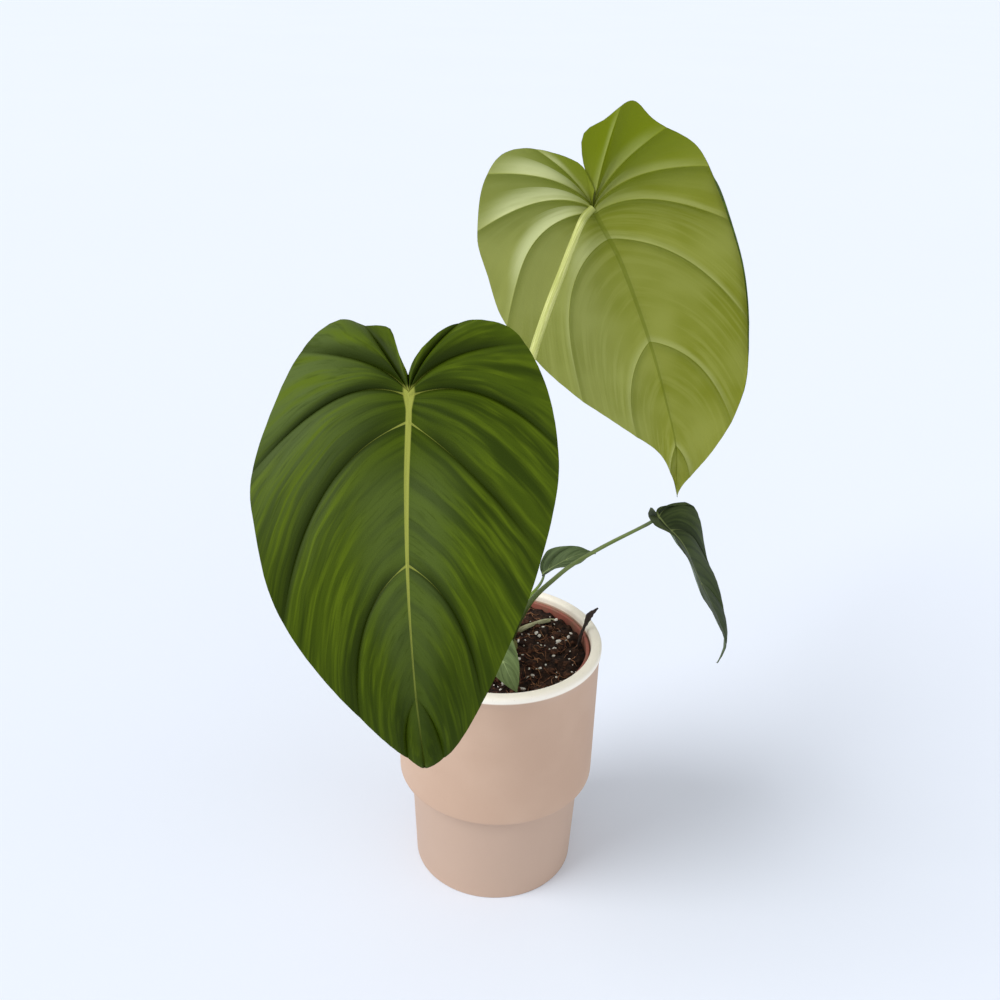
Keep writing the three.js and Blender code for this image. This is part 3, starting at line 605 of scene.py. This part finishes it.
YOUNG_STRIPE = 2.5
young_under = leaf_under("young_under", SIDE, tone="#55664a", pale="#6c7c60", backlit_tone="#5d6f4c",
                         highlight="#8d9a6c", vein_and_shade="#46563a", rib_width=0.9, stripe=3.0)
young_top = leaf_top("young_top", SIDE, dark="#283418", middle="#3a4622", light="#47542a",
                     painted_sheen="#4b5832", rib="#737e4a", rib_width=0.8, stripe=YOUNG_STRIPE)
tender_top = leaf_top("tender_top", SMALL, dark="#4d5d3a", middle="#5c6c48", light="#6a7a52",
                      painted_sheen="#66764e", rib="#8c9a66", rib_width=0.6, stripe=YOUNG_STRIPE)
# A lighter copy of the tender look: painted light that offsets the shade falling on the low leaf
low_top_brightened = leaf_top("low_top_brightened", SMALL, dark="#5c6c42", middle="#6c7e50", light="#7a8c5a",
                   painted_sheen="#76885c", rib="#9cac76", rib_width=0.6, stripe=YOUNG_STRIPE)
leaf("side", SIDE, "young_blade", young_top, young_under, per_span=16, across=28)
leaf("small", SMALL, "young_blade", tender_top, young_under, per_span=12, across=28)
leaf("low", LOW, "young_blade", low_top_brightened, young_under, per_span=12, across=28)

PATH_SAMPLES = 600
# The direction by which a stalk's first ring is turned
SIDEWAYS = (0.3, 1, 0.2)


def smooth_path(points):
    """A centripetal curve through points, as evenly spaced points, and its length"""
    points = np.array(points, float)
    ends = np.vstack([2 * points[0] - points[1], points, 2 * points[-1] - points[-2]])
    t = np.linspace(0, 1, PATH_SAMPLES // len(points) + 2)[:-1, None]
    parts = []
    for a, b, c, d in zip(ends, ends[1:], ends[2:], ends[3:]):
        gaps = [np.linalg.norm(q - p) ** 0.5 for p, q in ((a, b), (b, c), (c, d))]
        lead = gaps[1] * ((b - a) / gaps[0] - (c - a) / (gaps[0] + gaps[1])) + (c - b)
        trail = gaps[1] * ((d - c) / gaps[2] - (d - b) / (gaps[1] + gaps[2])) + (c - b)
        cubic = 2 * b - 2 * c + lead + trail
        parts.append(b + lead * t + (3 * c - 3 * b - 2 * lead - trail) * t**2 + cubic * t**3)
    curve = np.vstack([*parts, points[-1:]])
    length = np.append(0, np.cumsum(np.linalg.norm(np.diff(curve, axis=0), axis=1)))
    even = np.linspace(0, length[-1], PATH_SAMPLES)
    return np.stack([np.interp(even, length, curve[:, k]) for k in range(3)], -1), length[-1]


def stalk_mesh(name, points, radii, sides=24, rings=110, shape=None):
    """A round stalk along a smooth curve, with its length and turn as a UV map in millimetres.
    shape gives how much wider it is at each distance along, in millimetres, and turn."""
    path, length = smooth_path(points)
    pick = np.linspace(0, len(path) - 1, rings + 1).astype(int)
    centres = path[pick]
    tangents = np.gradient(path, axis=0)[pick]
    tangents /= np.linalg.norm(tangents, axis=1)[:, None]
    normal = unit(np.cross(tangents[0], SIDEWAYS))
    along = pick / (len(path) - 1)
    widths = spline(np.array(radii, float), along)
    turns = np.arange(sides + 1) / sides * 2 * np.pi
    verts, drawn = [], []
    for centre, tangent, share, width in zip(centres, tangents, along, widths):
        normal = unit(normal - np.dot(normal, tangent) * tangent)
        binormal = np.cross(tangent, normal)
        radius = np.full(sides + 1, width)
        if shape:
            radius = radius * shape(share * length, turns, length)
        ring = np.outer(np.cos(turns) * radius, normal) + np.outer(np.sin(turns) * radius, binormal)
        verts.append(centre + ring)
        drawn += [(share * length, turned * width) for turned in turns]
    grid = np.arange((rings + 1) * sides).reshape(rings + 1, sides)
    following = np.roll(grid, -1, axis=1)
    quads = np.stack([grid[:-1], following[:-1], following[1:], grid[1:]], -1).reshape(-1, 4).tolist()
    caps = [grid[0][::-1].tolist(), grid[-1].tolist()]
    mesh = bpy.data.meshes.new(name)
    mesh.from_pydata((np.array(verts)[:, :-1].reshape(-1, 3) * MM).tolist(), [], quads + caps)
    near, far = np.arange(sides), np.arange(1, sides + 1)
    first = np.arange(rings)[:, None] * (sides + 1)
    after = first + sides + 1
    corners = np.stack([near + first, far + first, far + after, near + after], -1).ravel()
    drawn = np.vstack([np.array(drawn)[corners], np.zeros((2 * sides, 2))])
    mesh.uv_layers.new(name="along").uv.foreach_set("vector", drawn.astype(np.float32).ravel())
    return mesh


# Length of the joint below the blade, in millimetres
JOINT = 14.0


def stalk_material(name, tone, pale, foot, joint, length, foot_end):
    """Petiole: fine streaks along it, darker at its foot and at the joint below the blade"""
    made = Material(name, roughness=0.42, specular=0.45)
    along, turned = made.uv("along")
    streaks = made.noise(made.vector(made.times(along, 0.05), made.times(turned, 1.6)), 1.0, 4)
    base = made.mix(made.step(streaks, 0.35, 0.68), tone, pale)
    base = made.mix(made.step(along, 4.0, foot_end, 0.85, 0.0), base, foot)
    base = made.mix(made.step(along, length - JOINT, length - JOINT / 2, 0.0, 0.75), base, joint)
    specks = made.cells(made.vector(made.times(along, 0.5), turned), 1.3)
    base = made.mix(made.step(specks, 0.05, 0.16, 0.35, 0.0), base, foot)
    grain = made.math("ADD", streaks, made.noise(made.vector(along, turned), 1.5, 3))
    return made.bumpy(base, grain, 0.0003, 0.5)


def petiole_shape(along, turns, length):
    """Swells at the joint below the blade, with a shallow groove on one side"""
    joint = 0.16 * math.exp(-(((along - length + JOINT / 2) / 5) ** 2))
    groove = 0.07 * np.exp(-(((turns - math.pi) / 0.5) ** 2))
    return 1 + joint - groove


def petiole(name, blade, points, radii, tones, foot_end=45.0):
    """A stalk from the rhizome to its blade's midrib. tones are those of the stalk, its streaks, its
    foot and its joint, and foot_end is where the foot's tone has faded, in millimetres."""
    join = blade.place(np.zeros(1), np.zeros(1), np.full(1, -blade.rib_depth * 0.8))[0]
    path = [*points, tuple(join)]
    mesh = stalk_mesh(f"{name}_stalk", path, radii, shape=petiole_shape)
    look = stalk_material(f"{name}_stalk", *tones, smooth_path(path)[1], foot_end)
    finish_piece(mesh, [look], "petiole", f"{name}_petiole")


petiole("front", FRONT, [(-1, -3, 175), (-5, -8, 215), (-14, -20, 275), (-29, -42, 340), (-45, -68, 378)],
        [4.2, 3.5, 3.2, 3.0, 2.8], ("#a3ae58", "#c3c67f", "#6d7a34", "#7f8a3c"))
petiole("rear", REAR, [(-2, 6, 175), (-3.1, 14, 240.5), (-1.2, 30, 284.5), (6.8, 46, 324.5),
                       (17.4, 60, 364.8), (26.6, 67, 394.3), (33.3, 69, 413.6), (38.8, 70, 430.6),
                       (45.6, 71.5, 448.5)],
        [4.2, 3.5, 3.2, 3.0, 2.9, 2.3], ("#b3ba60", "#d6d88c", "#6d7a34", "#8b9440"))
petiole("side", SIDE, [(6, 0, 176), (13, 0, 195), (22.5, 0, 213), (35.6, 0, 228.1), (45, 0, 237.5),
                       (64.8, 0, 252.2), (88.4, 0, 267.2), (94.2, 0, 271)],
        [3.3, 2.1, 1.6, 1.4, 1.25, 1.0], ("#5f7330", "#7f904a", "#2f3b0a", "#5c6a42"), foot_end=120.0)
petiole("small", SMALL, [(5, 8, 175), (13, 13, 190), (21, 18, 203.5), (26.5, 22, 209.5), (28.8, 25.5, 212.5)],
        [2.6, 2.6, 2.5, 1.1, 0.8], ("#6f8a1c", "#8fa84a", "#5a7212", "#6f7f56"))
petiole("low", LOW, [(6, -7, 175), (6, -13, 184), (1, -18, 193)],
        [1.8, 1.5, 1.2, 1.0], ("#77853f", "#93a05e", "#5f6d2c", "#6f7f56"))

# Distance between the rhizome's rings, in millimetres
RING_GAP = 6.5
FIRST_RING = 3.2


def rhizome_shape(along, turns, _length):
    """Rings where old leaves stood"""
    ring = 0.07 * math.exp(-((along % RING_GAP - FIRST_RING) / 0.8) ** 2)
    return 1 + ring + 0.03 * np.sin(3 * turns + along * 0.4)


def rhizome_material():
    made = Material("rhizome", roughness=0.7)
    along, turned = made.uv("along")
    rings = made.math("PINGPONG", made.math("ADD", along, -FIRST_RING), RING_GAP / 2)
    bark = made.noise(made.vector(along, turned), 0.6, 5)
    base = made.mix(made.step(bark, 0.35, 0.65), "#5c6530", "#7d7a45")
    base = made.mix(made.step(rings, 0.3, 1.2, 0.75, 0.0), base, "#4a3a22")
    return made.bumpy(base, bark, 0.0006)


def cut_shape(along, turns, _length):
    return 1 + 0.12 * np.sin(2 * turns + along * 0.3)


def cut_material():
    """Withered and pale, and darker at its foot"""
    made = Material("cut_stalk", roughness=0.75)
    along, turned = made.uv("along")
    fibres = made.noise(made.vector(made.times(along, 0.08), turned), 1.8, 4)
    base = made.mix(made.step(fibres, 0.35, 0.65), "#8f8f68", "#b9b894")
    base = made.mix(made.step(along, 2.0, 14.0, 0.8, 0.0), base, "#5f5f36")
    return made.bumpy(base, fibres, 0.0004)


def dry_shape(along, turns, _length):
    return 1 + 0.16 * np.sin(2 * turns + along * 0.5) + 0.1 * np.sin(along * 1.7 + turns)


def dry_material():
    made = Material("dry_stalk", roughness=0.85)
    along, turned = made.uv("along")
    fibres = made.noise(made.vector(made.times(along, 0.15), turned), 1.6, 5)
    base = made.mix(made.step(fibres, 0.35, 0.7), "#1a110e", "#3f3028")
    return made.bumpy(base, fibres, 0.0006)


rhizome = stalk_mesh("creeping_stem", [(-27, 13, 162), (-12, 7, 169), (2, 2, 173), (10, -3, 176)],
                     [4, 7.4, 8.2, 7.8, 4.5], sides=32, rings=90, shape=rhizome_shape)
finish_piece(rhizome, [rhizome_material()], "rhizome", "rhizome")

cut_stalk = stalk_mesh("cut_stalk", [(10.5, 14.5, 172.6), (14.5, 19.5, 174.4), (23.5, 27, 174.8),
                                     (32.5, 33.2, 173.9), (38.5, 36.8, 172.4)],
                       [1.5, 1.6, 1.5, 1.3], shape=cut_shape)
finish_piece(cut_stalk, [cut_material()], "cut_petiole", "cut_petiole")

dry_twig = stalk_mesh("dry_twig", [(53, 7, 162), (54, 8.5, 167), (55.2, 9.6, 172.5), (57, 11.2, 180.2),
                                   (59.5, 13.2, 186), (61.6, 15, 190.8), (67.1, 16, 196.4)],
                      [1.4, 1.3, 1.1, 1.1, 1.4, 2.1, 0.5], sides=16, rings=70, shape=dry_shape)
finish_piece(dry_twig, [dry_material()], "dry_stalk", "dry_stalk")


def turned_mesh(name, profile, segments):
    """A solid turned round the upright axis from a profile of radius and height"""
    mesh = bpy.data.meshes.new(name)
    verts, faces, ring_of = [], [], []
    for radius, height in profile:
        if radius < 1e-6:
            ring_of.append([len(verts)] * segments)
            verts.append((0, 0, height))
            continue
        ring_of.append(list(range(len(verts), len(verts) + segments)))
        turns = np.arange(segments) / segments * 2 * np.pi
        verts += [(radius * math.cos(a), radius * math.sin(a), height) for a in turns]
    for low, high in zip(ring_of, ring_of[1:]):
        for i in range(segments):
            j = (i + 1) % segments
            faces.append(list(dict.fromkeys((low[i], low[j], high[j], high[i]))))
    mesh.from_pydata((np.array(verts) * MM).tolist(), [], faces)
    return mesh


# Steps of each rounded corner's curve
CORNER_STEPS = 5


def rounded(profile, radii):
    """A profile whose corners are rounded. radii gives the size of each corner's curve."""
    out = []
    points = [np.array(point, float) for point in profile]
    for i, point in enumerate(points):
        if i not in radii:
            out.append(point)
            continue
        back, ahead = points[i - 1] - point, points[i + 1] - point
        a = point + back * min(0.45, radii[i] / np.linalg.norm(back))
        b = point + ahead * min(0.45, radii[i] / np.linalg.norm(ahead))
        for t in np.linspace(0, 1, CORNER_STEPS + 1):
            out.append((1 - t) ** 2 * a + 2 * t * (1 - t) * point + t**2 * b)
    return out


# Cover pot, in millimetres as in the part's source
COVER_HEIGHT, COVER_BODY, COVER_RIM, COVER_WALL = 181, 68.4, 69.6, 6
COVER_STEP, COVER_STEP_HEIGHT, COVER_SLEEVE, COVER_FOOT = 68, 76.2, 59.8, 56.4
COVER_LEDGE_TOP, COVER_LEDGE, COVER_FLOOR = 85, 52.5, 7
COVER_INSIDE = COVER_BODY - COVER_WALL


def ceramic_material():
    """Matt pinkish beige, with painted shade under the step, and a cream rim that is partly its own
    paler tone and partly painted light
    """
    made = Material("ceramic", roughness=0.62, specular=0.35)
    place, height = made.place(), made.height()
    clouds = made.noise(place, 14, 3)
    grain = made.noise(place, 900, 3)
    base = made.mix(made.step(clouds, 0.35, 0.65), "#c3a48e", "#c9ab95")
    foot = made.step(height, 0.0757, 0.0769, 0.75, 0.0)
    base = made.mix(foot, base, "#bfa593")
    # Painted shade just under the step
    base = made.mix(made.times(foot, made.step(height, 0.069, 0.0762, 0.0, 0.8)), base, "#8c7362")
    # The rim's cream, partly its own paler tone and partly painted light
    base = made.mix(made.step(height, 0.1758, 0.177), base, "#fff8ea")
    base = made.mix(made.step(grain, 0.62, 0.75, 0.0, 0.25), base, "#b39883")
    return made.bumpy(base, made.math("ADD", grain, made.noise(place, 60, 2)), 0.00015, 0.6)


cover_profile = rounded([
    (0, 0), (COVER_FOOT - 4, 0), (COVER_FOOT, 0), (COVER_SLEEVE, COVER_STEP_HEIGHT),
    (COVER_STEP, COVER_STEP_HEIGHT), (COVER_STEP + 0.1, COVER_STEP_HEIGHT + 6),
    (COVER_BODY, COVER_HEIGHT - 9), (COVER_RIM, COVER_HEIGHT - 5), (COVER_RIM, COVER_HEIGHT),
    (COVER_INSIDE, COVER_HEIGHT), (COVER_INSIDE, COVER_HEIGHT - 8), (COVER_INSIDE, COVER_LEDGE_TOP),
    (COVER_LEDGE, COVER_LEDGE_TOP), (COVER_FOOT - COVER_WALL, COVER_FLOOR), (0, COVER_FLOOR)],
    {2: 0.9, 3: 0.8, 4: 2.4, 6: 4, 7: 2.5, 8: 3.0, 9: 2.4, 11: 1, 12: 1, 13: 3})
cover_pot = turned_mesh("outer_pot", cover_profile, segments=160)
finish_piece(cover_pot, [ceramic_material()], "ceramic", "cover_pot", smooth_angle=35)

# Nursery pot, in millimetres
NURSERY_BASE, NURSERY_TOP, NURSERY_RIM, NURSERY_FOOT = 85.3, 176, 61.6, 56.4
NURSERY_WALL, NURSERY_LIP, NURSERY_BOTTOM = 1.6, 2.4, 1.8
LIP_BASE = NURSERY_TOP - 9
LIP_INSIDE = NURSERY_RIM - NURSERY_LIP
NURSERY_FLOOR = NURSERY_BASE + NURSERY_BOTTOM


def plastic_material():
    """Dusty terracotta red, darker where it meets the mix"""
    made = Material("nursery_plastic", roughness=0.55, specular=0.4)
    dust = made.noise(made.place(), 120, 4)
    base = made.mix(made.step(dust, 0.4, 0.7), "#9c5a4c", "#8c6452")
    base = made.mix(made.step(made.height(), 0.168, 0.173, 0.55, 0.0), base, "#4a2a20")
    return made.bumpy(base, dust, 0.0003)


nursery_profile = rounded([
    (0, NURSERY_BASE), (NURSERY_FOOT, NURSERY_BASE), (NURSERY_RIM - 1.4, LIP_BASE),
    (NURSERY_RIM, LIP_BASE + 0.6), (NURSERY_RIM, NURSERY_TOP), (LIP_INSIDE, NURSERY_TOP),
    (LIP_INSIDE, LIP_BASE), (NURSERY_FOOT - NURSERY_WALL, NURSERY_FLOOR), (0, NURSERY_FLOOR)],
    {1: 1.5, 3: 0.3, 4: 0.9, 5: 0.9})
nursery_pot = turned_mesh("inner_pot", nursery_profile, segments=128)
finish_piece(nursery_pot, [plastic_material()], "nursery_plastic", "nursery_pot", smooth_angle=35)

# Potting mix, in millimetres
MIX_EDGE, MIX_CROWN, MIX_LEAN, MIX_BASE = 168.5, 4, 0.07, 87.4
MIX_RADIUS, MIX_FOOT, MIX_MOUND, MIX_LUMPS = 58.7, 53.9, 62, 1.1
MIX_RINGS, MIX_SEGMENTS = 64, 220
CRUMB_LEVELS, CRUMB_LENGTH, CRUMB_HEIGHT = 26, 9, 0.035
# A full turn in radians, near enough for random angles
FULL_TURN = 6.28


def mix_height(x, y):
    """Height of the mix, without its crumbs"""
    mound = MIX_CROWN * np.cos(np.minimum(1, np.hypot(x, y) / MIX_MOUND) * (np.pi / 2))
    lumps = np.sin(x * 0.23 + 1.3) * np.cos(y * 0.29) + 0.6 * np.sin(x * 0.51 - y * 0.43 + 2)
    return MIX_EDGE + MIX_LEAN * y + mound + MIX_LUMPS * lumps


def crumbs(x, y):
    """Fine unevenness, from crossed waves of falling length"""
    chance = random.Random(SEED)
    total = np.zeros_like(x)
    for level in range(CRUMB_LEVELS):
        length = CRUMB_LENGTH * 0.9**level
        angle, phase = chance.uniform(0, math.pi), chance.uniform(0, FULL_TURN)
        wave = np.sin((x * math.cos(angle) + y * math.sin(angle)) * 2 * math.pi / length + phase)
        total += length * CRUMB_HEIGHT * wave * np.sin(x * 0.19 * (level % 5) + y * 0.27 + phase)
    return total


def mix_mesh():
    verts, faces = [], []
    turns = np.arange(MIX_SEGMENTS) / MIX_SEGMENTS * 2 * np.pi
    for i in range(MIX_RINGS + 1):
        radius = MIX_RADIUS * (i / MIX_RINGS) ** 0.8
        x, y = radius * np.cos(turns), radius * np.sin(turns)
        z = mix_height(x, y) + crumbs(x, y)
        verts += list(zip(x, y, z))
    verts += [(MIX_FOOT * math.cos(a), MIX_FOOT * math.sin(a), MIX_BASE) for a in turns]
    for i in range(MIX_RINGS + 1):
        near, far = i * MIX_SEGMENTS, (i + 1) * MIX_SEGMENTS
        for j in range(MIX_SEGMENTS):
            k = (j + 1) % MIX_SEGMENTS
            faces.append((near + j, far + j, far + k, near + k))
    bottom = (MIX_RINGS + 1) * MIX_SEGMENTS
    faces.append([bottom + j for j in range(MIX_SEGMENTS)][::-1])
    mesh = bpy.data.meshes.new("soil")
    mesh.from_pydata((np.array(verts) * MM).tolist(), [], faces)
    weld(mesh, 1e-6)
    return mesh


def crumb_material(name, dark, light, scale, roughness=0.9):
    made = Material(name, roughness, specular=0.25)
    place = made.place()
    tone = made.noise(place, scale, 5, 0.65)
    fleck = made.cells(place, scale * 2.5)
    base = made.mix(made.step(tone, 0.35, 0.65), dark, light)
    base = made.mix(made.step(fleck, 0.1, 0.5, 0.5, 0.0), base, dark, "MULTIPLY")
    return made.bumpy(base, tone, 0.0008)


soil = crumb_material("soil", "#0f0805", "#3f291d", 320)
finish_piece(mix_mesh(), [soil], "potting_mix", "potting_mix", smooth_angle=80)

# How far out crumbs and fibres lie on the mix
CRUMB_REACH = 56


def scattered(name, count, sizes, flatness, lift, material, chance):
    """Irregular lumps lying on the mix, as one piece. sizes are the least and the greatest radius,
    and lift is a lump's middle above the mix, as a share of its half height."""
    heap = bmesh.new()
    for _ in range(count):
        size = sizes[0] + (sizes[1] - sizes[0]) * chance.random() ** 2.2
        distance = (CRUMB_REACH - size) * math.sqrt(chance.random())
        angle = chance.uniform(0, 2 * math.pi)
        x, y = distance * math.cos(angle), distance * math.sin(angle)
        spot = np.array([x]), np.array([y])
        z = float(mix_height(*spot)[0] + crumbs(*spot)[0])
        lump = bmesh.ops.create_icosphere(heap, subdivisions=2, radius=size * MM)["verts"]
        phases = [chance.uniform(0, FULL_TURN) for _ in range(4)]
        for vert in lump:
            d = vert.co.normalized()
            bulge = 0.22 * math.sin(4 * d.x + phases[0]) * math.cos(3 * d.y + phases[1])
            bulge += 0.12 * math.sin(9 * d.z + phases[2]) * math.sin(8 * d.y + phases[3])
            vert.co *= 1 + bulge
        scale = Matrix.Diagonal((1 + chance.random() * 0.5, chance.uniform(0.6, 1), flatness, 1))
        turned = Matrix.Rotation(chance.uniform(0, FULL_TURN), 4, "Z")
        turned = turned @ Matrix.Rotation(chance.uniform(-0.6, 0.6), 4, "X")
        moved = Matrix.Translation(Vector((x, y, z + size * flatness * lift)) * MM) @ turned @ scale
        bmesh.ops.transform(heap, matrix=moved, verts=lump)
    mesh = bpy.data.meshes.new(name)
    heap.to_mesh(mesh)
    heap.free()
    finish_piece(mesh, [material], "potting_mix", smooth_angle=60)


chance = random.Random(SEED)
perlite = crumb_material("perlite", "#d8d2c4", "#fffdf6", 700, roughness=0.8)
scattered("perlite", 200, (0.5, 1.6), 0.8, 0.5, perlite, chance)
bark = crumb_material("bark", "#23140d", "#5c3b29", 300)
scattered("bark", 240, (0.9, 3.6), 0.6, 0.3, bark, chance)
peat = crumb_material("peat", "#150d09", "#3a2519", 500)
scattered("peat", 320, (0.5, 1.6), 0.8, 0.4, peat, chance)

FIBRES, FIBRE_POINTS, FIBRE_REACH = 240, 5, 50
FIBRE_LENGTHS = (4, 12)
FIBRE_RADII = [0.12, 0.26, 0.22, 0.1]


def fibre_mesh(chance):
    """Loose fibres that lie curled on the mix, as one piece"""
    heap = bmesh.new()
    for _ in range(FIBRES):
        distance, angle = FIBRE_REACH * math.sqrt(chance.random()), chance.uniform(0, FULL_TURN)
        heading, length = chance.uniform(0, FULL_TURN), chance.uniform(*FIBRE_LENGTHS)
        x, y = distance * math.cos(angle), distance * math.sin(angle)
        points = []
        for _ in range(FIBRE_POINTS):
            heading += chance.uniform(-0.6, 0.6)
            x += math.cos(heading) * length / (FIBRE_POINTS - 1)
            y += math.sin(heading) * length / (FIBRE_POINTS - 1)
            limit = min(1, CRUMB_REACH / max(1e-6, math.hypot(x, y)))
            x, y = x * limit, y * limit
            z = float(mix_height(np.array([x]), np.array([y]))[0]) + chance.uniform(0.3, 1.9)
            points.append((x, y, z))
        fibre = stalk_mesh("fibre", points, FIBRE_RADII, sides=6, rings=14)
        heap.from_mesh(fibre)
        bpy.data.meshes.remove(fibre)
    mesh = bpy.data.meshes.new("fibres")
    heap.to_mesh(mesh)
    heap.free()
    return mesh


finish_piece(fibre_mesh(chance), [crumb_material("fibre", "#4a2219", "#a87a58", 160)], "potting_mix")

# Floor and light. The floor's reach is in metres.
FLOOR_REACH = 80.0
WORLD_STRENGTH = 0.6


def floor_material():
    """Pale, with a faint haze of two tones"""
    made = Material("floor", roughness=1.0, specular=0.0)
    haze = made.noise(made.place(), 0.8, 2)
    return made.painted(made.mix(haze, "#e5ecf8", "#e7eefa"))


def sun(name, strength, spread, direction):
    """A light from far away. spread is its width in degrees."""
    data = bpy.data.lights.new(name, "SUN")
    data.energy = strength
    data.angle = math.radians(spread)
    light = add_object(name, data)
    light.rotation_euler = Vector(direction).to_track_quat("-Z", "Y").to_euler()


floor_mesh = bpy.data.meshes.new("floor")
floor_corners = [(-FLOOR_REACH, -FLOOR_REACH, 0), (FLOOR_REACH, -FLOOR_REACH, 0),
                 (FLOOR_REACH, FLOOR_REACH, 0), (-FLOOR_REACH, FLOOR_REACH, 0)]
floor_mesh.from_pydata(floor_corners, [], [(0, 1, 2, 3)])
floor_mesh.materials.append(floor_material())
floor = add_object("floor", floor_mesh)

world = bpy.data.worlds.new("studio")
bpy.context.scene.world = world
world.use_nodes = True
background = world.node_tree.nodes["Background"]
background.inputs["Color"].default_value = (1, 1, 1, 1)
background.inputs["Strength"].default_value = WORLD_STRENGTH

sun("key", 2.05, 38, (1.1, 0.5, -1.05))
sun("fill", 0.65, 80, (-0.9, 0.8, -0.45))
